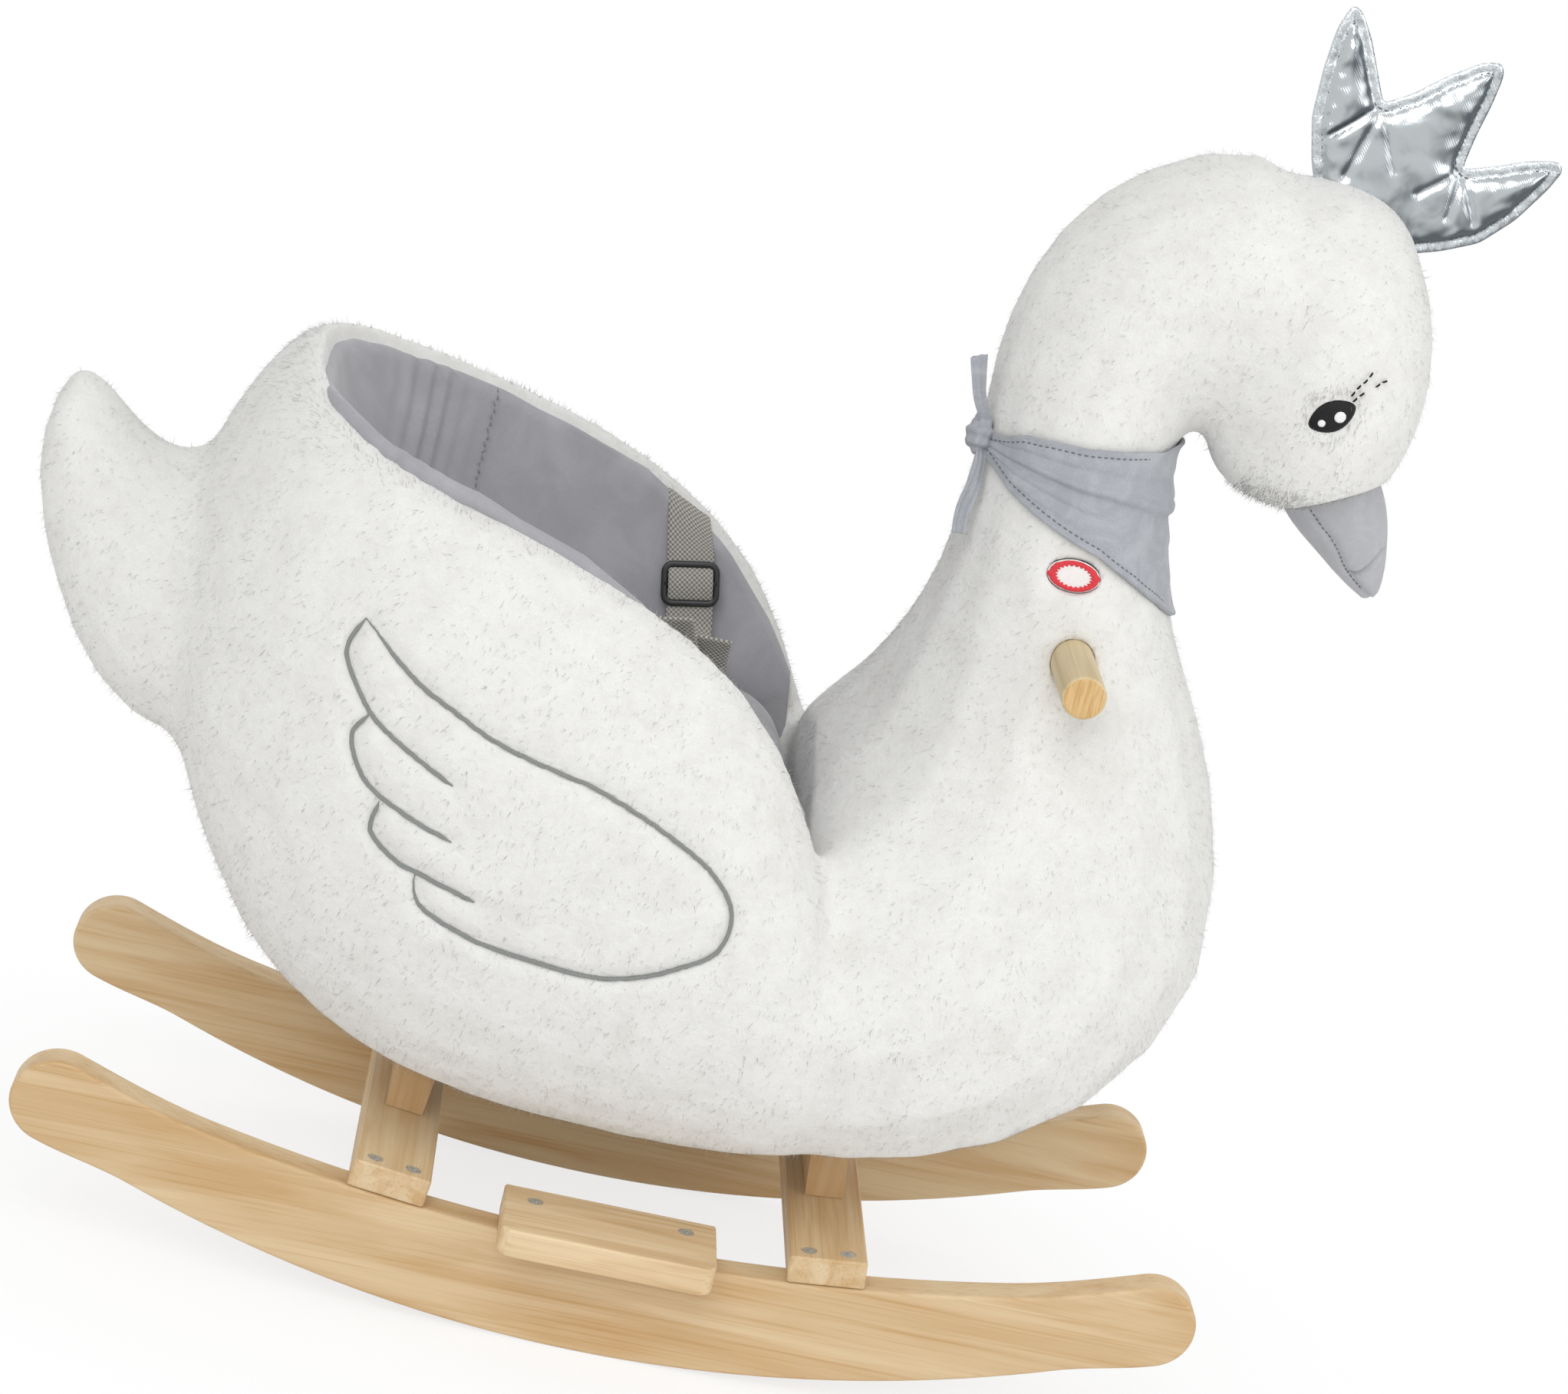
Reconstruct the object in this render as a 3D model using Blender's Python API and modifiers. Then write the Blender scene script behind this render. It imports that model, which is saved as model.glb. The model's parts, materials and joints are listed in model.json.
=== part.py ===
"""Plush rocking swan: a stuffed bird with a bucket seat on two bent timber rockers.

Everything is in metres, +Z up, the bird faces +X, and +Y is its left-hand side.
All sizes along the toy are measured from the middle of the rockers, on the floor.
"""
import math
from typing import NamedTuple

import bmesh
import bpy
from mathutils import Matrix, Vector

# Clearances
GAP = 0.0003                 # between pieces that touch
SCREW_GAP = 0.0003           # round a screw in its hole
SLIVER = 0.00003             # cut edges shorter than this are closed up

# Rockers
ROCKER_SPAN = 0.612          # tip to tip
ROCKER_RADIUS = 0.694        # running edge
ROCKER_TOP_RADIUS = 1.03     # upper edge
ROCKER_HEIGHT = 0.058        # board height in the middle
ROCKER_THICK = 0.018
ROCKER_SPACING = 0.2017      # centre to centre
ROCKER_FACET_DEG = 4.5       # the toy stands on the middle facet
ROCKER_FACETS = 9
ROCKER_EASE = 0.0015         # rounded arris
ROCKER_CHORD = 0.035         # between the points of the curved upper edge
PADDLE_RADIUS = 0.0228       # rounded tip of a rocker
PADDLE_Z = 0.0785            # height of the tip's centre

# Crossbars, risers and footrests
BAR_X = 0.114                # from the middle to each crossbar
BAR_WIDTH = 0.040
BAR_THICK = 0.015
RISER_THICK = 0.020
RISER_WIDTH = 0.080
STEP_LENGTH = 0.110
STEP_DEPTH = 0.050
STEP_THICK = 0.015
STEP_INBOARD = 0.004         # how far a footrest reaches past the rocker's inner face
STEP_CORNER = 0.007
LAND_MARGIN = 0.002          # flat of the rocker's upper edge past what lies on it
ARRIS = 0.001

# Screws
SCREW_HEAD = 0.0080
SCREW_SHANK = 0.0036
SCREW_LENGTH = 0.032
SCREW_POINT = 0.005          # tapered end
SCREW_SLOT = (0.0042, 0.0011, 0.002)
SCREW_SINK = 0.0004          # head below the wood
BAR_SCREW_PITCH = 0.020
STEP_SCREW_PITCH = 0.078
STEP_SCREW_EDGE = 0.013      # from the footrest's inner edge

# Timber frame inside the plush
BASE_Z = 0.150               # underside of the base board
BASE_THICK = 0.012
BASE_WIDTH = 0.110
BASE_REAR = -0.160
BASE_FRONT = 0.185
SEAT_Z = 0.262               # top of the seat board and of the belly
SEAT_THICK = 0.012
SEAT_WIDTH = 0.180
SEAT_REAR = -0.150
SEAT_FRONT = 0.045
BEARER_THICK = 0.020
BEARER_WIDTH = 0.160
BEARER_X = (-0.110, 0.010)
BACK_THICK = 0.009
BACK_WIDTH = 0.150
BACK_LENGTH = 0.270
BACK_FOOT_X = -0.170
BACK_TILT_DEG = 15.4
POST_X = 0.157
POST_WIDTH = 0.050
POST_THICK = 0.018
POST_TOP = 0.540

# Handle
HANDLE_Z = 0.403
HANDLE_DIA = 0.022
HANDLE_LENGTH = 0.244
HANDLE_EASE = 0.002

# Plush forms
BACK_SPLIT_X = -0.150        # between the back bolster and the wings
CHEST_SEAM_X = 0.050
NECK_SEAM_Z = 0.478
FORM_LEVELS = 2
LINING_THICK = 0.005
LINING_PROUD = 0.002         # past the plush at the rim
HOLLOW_REACH = 0.02          # how far a cutter of the seat hollow runs past its floor and front
FAR = 1.0                    # half the width of a cutter that is wider than the toy
ROUND = 0.71                 # shoulders of a ring that is as round as a circle
RISER_SPARE = 0.02           # length that a riser keeps before its head is cut level
PATCH_REACH = 0.039          # how far the patch's hole runs out of the chest
PATCH_BITE = 0.001           # and into the sound pocket

# Crown and scarf
CROWN_THICK = 0.013
CROWN_ROUND = 0.0045
SCARF_LIFT = 0.0005          # off the neck
SCARF_THICK = 0.0030
SCARF_WEDGE = 0.15           # to each side, past the neck

# Seat belt
WEB_WIDTH = 0.025
WEB_THICK = 0.0012
BELT_X = -0.017              # middle of the buckle
BUCKLE_WIDTH = 0.032
BUCKLE_THICK = 0.011
BUCKLE_WALL = 0.0022
BUCKLE_EASE = 0.0015
BUCKLE_BITE = 0.006          # how deep the webbing runs into it
SOCKET_LENGTH = 0.034
PLUG_LENGTH = 0.014
TONGUE_LENGTH = 0.024
BELT_Z = 0.3215
SLIDER_WIDTH = 0.032
SLIDER_HEIGHT = 0.025
SLIDER_THICK = 0.0048
SLIDER_BAR = 0.0040
SLIDER_PLAY = 0.0006         # beside the webbing

# Sound module behind the press patch
SOUND_X = 0.148
SOUND_Z = 0.443
SOUND_FACE_Y = -0.037        # front of the case
SOUND_WIDTH = 0.044
SOUND_HEIGHT = 0.032
SOUND_DEPTH = 0.018
SOUND_WALL = 0.0018
SOUND_COVER = 0.002
BUTTON_DIA = 0.016
BUTTON_TRAVEL = 0.002
STEM_DIA = 0.010
STEM_REACH = 0.003           # past the inside of the case wall
PATCH_WIDTH = 0.027
PATCH_HEIGHT = 0.017
PATCH_THICK = 0.0015
PATCH_Y = -0.0560
SPEAKER_DIA = 0.026
SPEAKER_DEPTH = 0.005

# Eye
EYE_X = 0.248
EYE_Z = 0.551
EYE_Y = 0.0595
EYE_TILT_DEG = 38.0
EYE_SIZE = (0.0120, 0.0030, 0.0078)

# Furthest points of the toy, which set where its own origin lies
TAIL_TIP_X = -0.361
CROWN_TIP_X = 0.338

BODY_X = -(TAIL_TIP_X + CROWN_TIP_X) / 2


class Ring(NamedTuple):
    """A section of a stuffed form: an oval through a low point and a high point of the profile."""
    low: tuple            # x, z of the lower or outer point
    high: tuple           # x, z of the upper or inner point
    half_width: float     # in Y
    waist: float = 0.5    # where the widest point lies, from low to high
    square: float = ROUND  # how far out the upper shoulders lie
    rise: float = ROUND   # how high they lie, more than 1 lifts a rim on each side


BODY_RINGS = (
    Ring((-0.280, 0.294), (-0.284, 0.372), 0.040),
    Ring((-0.255, 0.226), (-0.266, 0.436), 0.098, 0.45),
    Ring((-0.213, 0.153), (-0.230, 0.482), 0.139, 0.45, 0.82, 0.82),
    Ring((-0.154, 0.113), (-0.166, 0.423), 0.161, 0.45, 0.96, 1.70),
    Ring((-0.086, 0.096), (-0.092, 0.406), 0.168, 0.46, 0.98, 1.70),
    Ring((-0.015, 0.093), (-0.015, 0.374), 0.167, 0.46, 0.98, 1.70),
    Ring((0.040, 0.096), (0.036, 0.324), 0.160, 0.48, 0.96, 1.60),
    Ring((0.082, 0.103), (0.074, 0.255), 0.147, 0.50, 0.90, 1.00),
    Ring((0.120, 0.122), (0.115, 0.225), 0.112),
)
CHEST_RINGS = (
    Ring((0.020, 0.120), (0.010, 0.270), 0.120),
    Ring((0.068, 0.100), (0.046, 0.312), 0.149, 0.45),
    Ring((0.150, 0.110), (0.055, 0.334), 0.152, 0.45),
    Ring((0.241, 0.152), (0.066, 0.350), 0.144, 0.46),
    Ring((0.287, 0.243), (0.077, 0.372), 0.116),
    Ring((0.260, 0.338), (0.086, 0.400), 0.084),
    Ring((0.215, 0.407), (0.093, 0.433), 0.064),
    Ring((0.1895, 0.468), (0.0945, 0.480), 0.0520),
    Ring((0.1865, 0.514), (0.0905, 0.530), 0.0495),
    Ring((0.195, 0.538), (0.094, 0.573), 0.0510),
    Ring((0.204, 0.546), (0.118, 0.620), 0.0530),
    Ring((0.218, 0.552), (0.165, 0.655), 0.0545),
    Ring((0.240, 0.556), (0.222, 0.660), 0.0530),
)
HEAD_RINGS = (
    Ring((0.262, 0.650), (0.220, 0.656), 0.022),
    Ring((0.281, 0.625), (0.196, 0.636), 0.046),
    Ring((0.300, 0.588), (0.190, 0.590), 0.060),
    Ring((0.305, 0.550), (0.194, 0.545), 0.062),
    Ring((0.299, 0.513), (0.202, 0.511), 0.053),
    Ring((0.281, 0.490), (0.220, 0.489), 0.034),
)
TAIL_RINGS = (
    Ring((-0.250, 0.238), (-0.240, 0.400), 0.078),
    Ring((-0.290, 0.250), (-0.282, 0.381), 0.070),
    Ring((-0.327, 0.284), (-0.311, 0.393), 0.054),
    Ring((-0.353, 0.340), (-0.335, 0.417), 0.034),
    Ring((TAIL_TIP_X, 0.386), (-0.352, 0.424), 0.020),
)
BEAK_RINGS = (
    Ring((0.244, 0.497), (0.286, 0.528), 0.028),
    Ring((0.257, 0.482), (0.302, 0.500), 0.0235),
    Ring((0.276, 0.468), (0.309, 0.478), 0.0175),
    Ring((0.293, 0.457), (0.3115, 0.461), 0.0100),
    Ring((0.304, 0.4505), (0.3095, 0.4520), 0.0035),
)
CUSHION_RINGS = (
    Ring((-0.160, 0.266), (-0.165, 0.296), 0.060, 0.5, 0.85, 0.85),
    Ring((-0.140, SEAT_Z), (-0.140, 0.311), 0.092, 0.5, 0.85, 0.82),
    Ring((-0.070, SEAT_Z), (-0.070, 0.314), 0.104, 0.5, 0.88, 0.84),
    Ring((0.000, SEAT_Z), (0.000, 0.314), 0.104, 0.5, 0.88, 0.84),
    Ring((0.048, 0.264), (0.046, 0.308), 0.092, 0.5, 0.85, 0.82),
)

# The seat hollow: height, rear wall's x and half width. Its front stays open past the saddle.
BUCKET_LEVELS = (
    (0.180, -0.140, 0.088),
    (0.240, -0.157, 0.099),
    (0.300, -0.178, 0.110),
    (0.360, -0.200, 0.122),
    (0.420, -0.221, 0.132),
    (0.480, -0.240, 0.138),
    (0.560, -0.254, 0.142),
)
BUCKET_FRONT_X = 0.190
BUCKET_SQUARE = 0.93

CROWN_OUTLINE = (
    (0.226, 0.636), (0.216, 0.659), (0.210, 0.680), (0.209, 0.704), (0.210, 0.724), (0.2145, 0.737),
    (0.220, 0.734), (0.228, 0.722), (0.236, 0.706), (0.242, 0.694), (0.255, 0.702), (0.269, 0.714),
    (0.284, 0.7245), (0.293, 0.7265), (0.2955, 0.721), (0.294, 0.706), (0.291, 0.690), (0.289, 0.672),
    (0.304, 0.677), (0.321, 0.684), (0.335, 0.687), (CROWN_TIP_X, 0.683), (0.333, 0.672), (0.322, 0.654),
    (0.308, 0.639), (0.291, 0.631), (0.270, 0.624), (0.245, 0.624),
)
SCARF_OUTLINE = (
    (0.055, 0.480), (0.088, 0.488), (0.112, 0.501), (0.150, 0.505), (0.240, 0.512), (0.240, 0.414),
    (0.213, 0.417), (0.190, 0.437), (0.176, 0.446), (0.158, 0.457), (0.135, 0.465), (0.112, 0.473),
    (0.055, 0.474),
)
KNOT = (0.0885, -0.020, 0.4935)
KNOT_SIZE = (0.0075, 0.0080, 0.0085)
SCARF_TAILS = {
    "scarf_tail_upper": ((0.0885, -0.021, 0.4980), (0.0835, -0.026, 0.518), (0.0800, -0.029, 0.535)),
    "scarf_tail_lower": ((0.0885, -0.022, 0.4890), (0.0930, -0.032, 0.466), (0.0915, -0.036, 0.446)),
}
SCARF_TAIL_WIDTH = 0.0050
SCARF_TAIL_THICK = 0.0016
SCARF_TAIL_FACING = (0.25, -0.97, 0.0)

# The strap's path on one side, in x, distance from the middle and height, from its sewn end to the buckle
STRAP_END = (-0.0305, 0.1245, 0.3885)
STRAP_TOP = (-0.0281, 0.1145, 0.3800)
STRAP_FOOT = (-0.0180, 0.1025, 0.3280)
STRAP_BEND = ((-0.0176, 0.0990, 0.3240), (-0.0172, 0.0935, 0.3222), (BELT_X, 0.0850, BELT_Z))
SLIDER_AT = 0.375            # share of the straight stretch, from its foot
# The two loose ends that stand on the plug: x, y and rise above it along each one's middle
BELT_TAILS = {
    "belt_tail_rear": ((-0.0200, -0.0105, 0.0), (-0.0250, -0.0180, 0.013), (-0.0290, -0.0275, 0.027),
                       (-0.0315, -0.0335, 0.036)),
    "belt_tail_front": ((-0.0140, -0.0045, 0.0), (-0.0150, -0.0100, 0.009), (-0.0160, -0.0170, 0.019),
                        (-0.0165, -0.0230, 0.027)),
}

# Colours as linear RGB, with roughness and metallic value
FINISHES = {
    "pine": ((0.66, 0.49, 0.29), 0.55, 0.0),
    "plywood": ((0.58, 0.43, 0.26), 0.65, 0.0),
    "plush": ((0.84, 0.83, 0.81), 0.95, 0.0),
    "velour": ((0.31, 0.31, 0.34), 0.90, 0.0),
    "lame": ((0.75, 0.77, 0.78), 0.25, 1.0),
    "webbing": ((0.30, 0.29, 0.27), 0.85, 0.0),
    "acetal": ((0.02, 0.02, 0.02), 0.40, 0.0),
    "steel": ((0.62, 0.62, 0.61), 0.35, 1.0),
    "thread_black": ((0.01, 0.01, 0.01), 0.70, 0.0),
    "thread_red": ((0.75, 0.06, 0.07), 0.70, 0.0),
    "case_plastic": ((0.80, 0.80, 0.78), 0.45, 0.0),
}


def clear_scene():
    """Remove whatever the open file holds."""
    for item in list(bpy.data.objects):
        bpy.data.objects.remove(item, do_unlink=True)


clear_scene()
SWAN = bpy.data.collections.new("rocking_swan")
CUTTERS = bpy.data.collections.new("cutters")
bpy.context.scene.collection.children.link(SWAN)
bpy.context.scene.collection.children.link(CUTTERS)
ORIGIN = bpy.data.objects.new("toy_origin", None)
ORIGIN.location = (BODY_X, 0, 0)
SWAN.objects.link(ORIGIN)


def finish(name):
    """The named material, made once."""
    found = bpy.data.materials.get(name)
    if found:
        return found
    colour, roughness, metallic = FINISHES[name]
    made = bpy.data.materials.new(name)
    made.use_nodes = True
    shader = made.node_tree.nodes["Principled BSDF"]
    shader.inputs["Base Color"].default_value = (*colour, 1)
    shader.inputs["Roughness"].default_value = roughness
    shader.inputs["Metallic"].default_value = metallic
    return made


def place(name, mesh, material=None):
    """Link a mesh as a piece of the toy, or as a cutter if it has no material."""
    piece = bpy.data.objects.new(name, mesh)
    piece.parent = ORIGIN
    if material:
        mesh.materials.clear()
        mesh.materials.append(finish(material))
        SWAN.objects.link(piece)
    else:
        CUTTERS.objects.link(piece)
        piece.hide_render = True
        piece.display_type = "WIRE"
    return piece


def from_bmesh(name, work, material=None, smooth=True):
    """Turn a bmesh into a piece, with round faces shaded smooth."""
    bmesh.ops.recalc_face_normals(work, faces=work.faces)
    mesh = bpy.data.meshes.new(name)
    work.to_mesh(mesh)
    work.free()
    if smooth:
        mesh.shade_smooth()
        mesh.set_sharp_from_angle(angle=math.radians(35))
    return place(name, mesh, material)


def settled(piece):
    """Swap a piece's modifiers for the mesh that they make."""
    bpy.context.view_layer.update()
    graph = bpy.context.evaluated_depsgraph_get()
    mesh = bpy.data.meshes.new_from_object(piece.evaluated_get(graph))
    piece.modifiers.clear()
    piece.data = mesh
    return piece


def trimmed(piece):
    """Settle a piece that was cut along a nearly matching surface, without the slivers of the cut."""
    settled(piece)
    work = bmesh.new()
    work.from_mesh(piece.data)
    bmesh.ops.remove_doubles(work, verts=work.verts, dist=SLIVER)
    bmesh.ops.dissolve_degenerate(work, edges=work.edges, dist=SLIVER)
    left = set(work.verts)
    islands = []
    while left:
        island = [left.pop()]
        for vertex in island:
            for edge in vertex.link_edges:
                other = edge.other_vert(vertex)
                if other in left:
                    left.remove(other)
                    island.append(other)
        islands.append(island)
    islands.sort(key=len)
    for island in islands[:-1]:
        bmesh.ops.delete(work, geom=island, context="VERTS")
    work.to_mesh(piece.data)
    work.free()
    return piece


def boolean(piece, other, operation="DIFFERENCE"):
    """Cut a piece by another solid, or keep what they share."""
    step = piece.modifiers.new(operation.lower(), "BOOLEAN")
    step.object = other
    step.operation = operation
    step.solver = "EXACT"
    return piece


def bevel(piece, width, segments=1):
    """Ease the sharp edges of a piece."""
    step = piece.modifiers.new("arris", "BEVEL")
    step.width = width
    step.segments = segments
    step.limit_method = "ANGLE"
    step.angle_limit = math.radians(40)
    return piece


def block(name, size, centre, material=None, turn_deg=0.0):
    """A box, turned about Y through its own centre."""
    work = bmesh.new()
    bmesh.ops.create_cube(work, size=1.0)
    bmesh.ops.scale(work, vec=size, verts=work.verts)
    piece = from_bmesh(name, work, material, smooth=False)
    piece.location = centre
    piece.rotation_euler = (0, math.radians(turn_deg), 0)
    return piece


def rod(name, radius, length, centre, material=None, sides=24, axis="Z"):
    """A round bar along one axis."""
    work = bmesh.new()
    bmesh.ops.create_cone(work, cap_ends=True, segments=sides, radius1=radius, radius2=radius, depth=length)
    if axis == "Y":
        bmesh.ops.rotate(work, verts=work.verts, matrix=Matrix.Rotation(math.pi / 2, 3, "X"))
    piece = from_bmesh(name, work, material)
    piece.location = centre
    return piece


def outline_solid(name, points, half_thick, material=None):
    """A flat outline in the XZ plane, thickened to both sides in Y."""
    curve = bpy.data.curves.new(name, "CURVE")
    curve.dimensions = "2D"
    curve.fill_mode = "BOTH"
    curve.extrude = half_thick
    spline = curve.splines.new("POLY")
    spline.points.add(len(points) - 1)
    for point, (x, z) in zip(spline.points, points):
        point.co = (x, z, 0, 1)
    spline.use_cyclic_u = True
    return curve_mesh(name, curve, material)


def curve_mesh(name, curve, material):
    """Turn a flat curve into a mesh that stands upright in the XZ plane."""
    guide = bpy.data.objects.new(name + "_curve", curve)
    CUTTERS.objects.link(guide)
    bpy.context.view_layer.update()
    graph = bpy.context.evaluated_depsgraph_get()
    mesh = bpy.data.meshes.new_from_object(guide.evaluated_get(graph))
    bpy.data.objects.remove(guide, do_unlink=True)
    work = bmesh.new()
    work.from_mesh(mesh)
    bmesh.ops.remove_doubles(work, verts=work.verts, dist=0.00001)
    bmesh.ops.rotate(work, verts=work.verts, matrix=Matrix.Rotation(math.pi / 2, 3, "X"))
    return from_bmesh(name, work, material)


def ring_points(ring):
    """Eight cage points whose smoothed curve runs through the ring's own low, high and wide points."""
    low = Vector((ring.low[0], 0, ring.low[1]))
    high = Vector((ring.high[0], 0, ring.high[1]))
    waist = low.lerp(high, ring.waist)
    up = high - waist
    down = low - waist
    up_scale = 1 / (2 / 3 + ring.rise / 3)
    down_scale = 1 / (2 / 3 + ROUND / 3)
    side = ring.half_width / (2 / 3 + (ring.square + ROUND) / 6)
    across = Vector((0, side, 0))
    return [
        waist + up * up_scale,
        waist + up * up_scale * ring.rise + across * ring.square,
        waist + across,
        waist + down * down_scale * ROUND + across * ROUND,
        waist + down * down_scale,
        waist + down * down_scale * ROUND - across * ROUND,
        waist - across,
        waist + up * up_scale * ring.rise - across * ring.square,
    ]


def loft(name, sections, material=None, levels=FORM_LEVELS):
    """A soft form: a cage of closed sections, smoothed by Subdivision Surface."""
    work = bmesh.new()
    rows = [[work.verts.new(point) for point in section] for section in sections]
    for row, following in zip(rows, rows[1:]):
        for here in range(len(row)):
            after = (here + 1) % len(row)
            work.faces.new((row[here], row[after], following[after], following[here]))
    work.faces.new(rows[0])
    work.faces.new(rows[-1])
    piece = from_bmesh(name, work, material)
    step = piece.modifiers.new("stuffing", "SUBSURF")
    step.levels = levels
    step.render_levels = levels
    return settled(piece)


def stuffed(name, rings, material=None, levels=FORM_LEVELS):
    """A stuffed form through its rings."""
    return loft(name, [ring_points(ring) for ring in rings], material, levels)


def grown(source, distance, name=None):
    """A cutter with the source's mesh pushed outward by a distance."""
    mesh = settled(source).data.copy() if source.modifiers else source.data.copy()
    shifts = [vertex.normal * distance for vertex in mesh.vertices]
    for vertex, shift in zip(mesh.vertices, shifts):
        vertex.co += shift
    piece = place(name or source.name + "_clear", mesh)
    piece.matrix_local = source.matrix_local.copy()
    return piece


def half_space(name, low, high):
    """A large box from one corner to the other, used to part the plush."""
    size = [b - a for a, b in zip(low, high)]
    centre = [(a + b) / 2 for a, b in zip(low, high)]
    return block(name, size, centre)


def ease_between(start, start_way, end, end_way, steps):
    """Points of a smooth stretch between two others, which it leaves and meets along given ways."""
    reach = math.dist(start, end)
    points = []
    for step in range(1, steps):
        t = step / steps
        weights = (2 * t**3 - 3 * t**2 + 1, t**3 - 2 * t**2 + t, -2 * t**3 + 3 * t**2, t**3 - t**2)
        points.append(tuple(weights[0] * start[i] + weights[1] * reach * start_way[i]
                            + weights[2] * end[i] + weights[3] * reach * end_way[i] for i in (0, 1)))
    return points


def rocker_half():
    """The front half of a rocker's outline, from the running edge's middle to the upper edge's."""
    facet = math.radians(ROCKER_FACET_DEG)
    corner_radius = ROCKER_RADIUS / math.cos(facet / 2)
    running = []
    for index in range((ROCKER_FACETS + 1) // 2):
        angle = (index + 0.5) * facet
        running.append((corner_radius * math.sin(angle), ROCKER_RADIUS - corner_radius * math.cos(angle)))
    last_angle = (ROCKER_FACETS / 2) * facet
    tip_x = ROCKER_SPAN / 2 - PADDLE_RADIUS
    paddle = []
    for degrees in range(-70, 111, 20):
        angle = math.radians(degrees)
        paddle.append((tip_x + PADDLE_RADIUS * math.cos(angle), PADDLE_Z + PADDLE_RADIUS * math.sin(angle)))
    paddle_tilt = math.radians(20)
    enter = (math.cos(paddle_tilt), math.sin(paddle_tilt))
    below = ease_between(running[-1], (math.cos(last_angle), math.sin(last_angle)), paddle[0], enter, 4)
    upper = []
    near, far = bar_land()
    for x in (far + 2 * ROCKER_CHORD, far + ROCKER_CHORD, far, near, STEP_LENGTH / 2 + LAND_MARGIN):
        upper.append((x, top_edge(x)))
    slope = math.asin(upper[0][0] / ROCKER_TOP_RADIUS)
    leave = (-math.cos(paddle_tilt), -math.sin(paddle_tilt))
    above = ease_between(paddle[-1], leave, upper[0], (-math.cos(slope), -math.sin(slope)), 4)
    return running + below + paddle + above + upper


def top_edge(x):
    """Height of a rocker's upper edge."""
    return ROCKER_HEIGHT + ROCKER_TOP_RADIUS - math.sqrt(ROCKER_TOP_RADIUS**2 - x**2)


def rocker_side():
    """Distance of a rocker's mid-plane from the middle of the toy."""
    return ROCKER_SPACING / 2


def bar_land():
    """Both ends of the flat that a crossbar lies on."""
    half = BAR_WIDTH / 2 + LAND_MARGIN
    return BAR_X - half, BAR_X + half


def bar_seat():
    """Slope and middle height of the flat that a crossbar lies on."""
    near, far = bar_land()
    slope = math.atan2(top_edge(far) - top_edge(near), far - near)
    return slope, (top_edge(far) + top_edge(near)) / 2


def screw(name, point, lean_deg):
    """A countersunk wood screw whose head is just under a surface, leaning about Y."""
    head = SCREW_HEAD / 2
    shank = SCREW_SHANK / 2
    cone = head - shank
    profile = ((0, 0), (head, 0), (shank, -cone), (shank, SCREW_POINT - SCREW_LENGTH), (0, -SCREW_LENGTH))
    piece = turned(name, profile, "steel", 12)
    for turn, label in ((45, "slot_a"), (135, "slot_b")):
        slot = block(name + "_" + label, SCREW_SLOT, (0, 0, 0))
        slot.parent = piece
        slot.rotation_euler = (0, 0, math.radians(turn))
        boolean(piece, slot)
    piece.location = point
    piece.rotation_euler = (0, math.radians(lean_deg), 0)
    return piece


def turned(name, profile, material, sides):
    """A turned solid: a profile of radius and height about Z, run round by Screw."""
    work = bmesh.new()
    points = [work.verts.new((radius, 0, height)) for radius, height in profile]
    for here, there in zip(points, points[1:]):
        work.edges.new((here, there))
    mesh = bpy.data.meshes.new(name)
    work.to_mesh(mesh)
    work.free()
    piece = place(name, mesh, material)
    step = piece.modifiers.new("turning", "SCREW")
    step.steps = sides
    step.render_steps = sides
    step.use_merge_vertices = True
    step.merge_threshold = 0.00001
    step.use_smooth_shade = False
    return piece


def screw_hole(target, point, lean_deg, depth):
    """Cut the countersunk hole of a screw into a timber."""
    head = SCREW_HEAD / 2 + SCREW_GAP
    shank = SCREW_SHANK / 2 + SCREW_GAP
    above = 0.004
    cone = head - shank
    profile = ((0, above), (head, above), (head, 0), (shank, -cone), (shank, -depth), (0, -depth))
    hole = turned("hole_" + target.name, profile, None, 12)
    hole.location = point
    hole.rotation_euler = (0, math.radians(lean_deg), 0)
    boolean(target, hole)


def make_rockers():
    """Two identical rockers, on their running edges."""
    half = rocker_half()
    outline = half + [(-x, z) for x, z in reversed(half)]
    rockers = {}
    for name, side in (("rocker_left", 1), ("rocker_right", -1)):
        rocker = outline_solid(name, outline, ROCKER_THICK / 2, "pine")
        rocker.location.y = side * rocker_side()
        rockers[side] = bevel(rocker, ROCKER_EASE)
    return rockers


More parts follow.
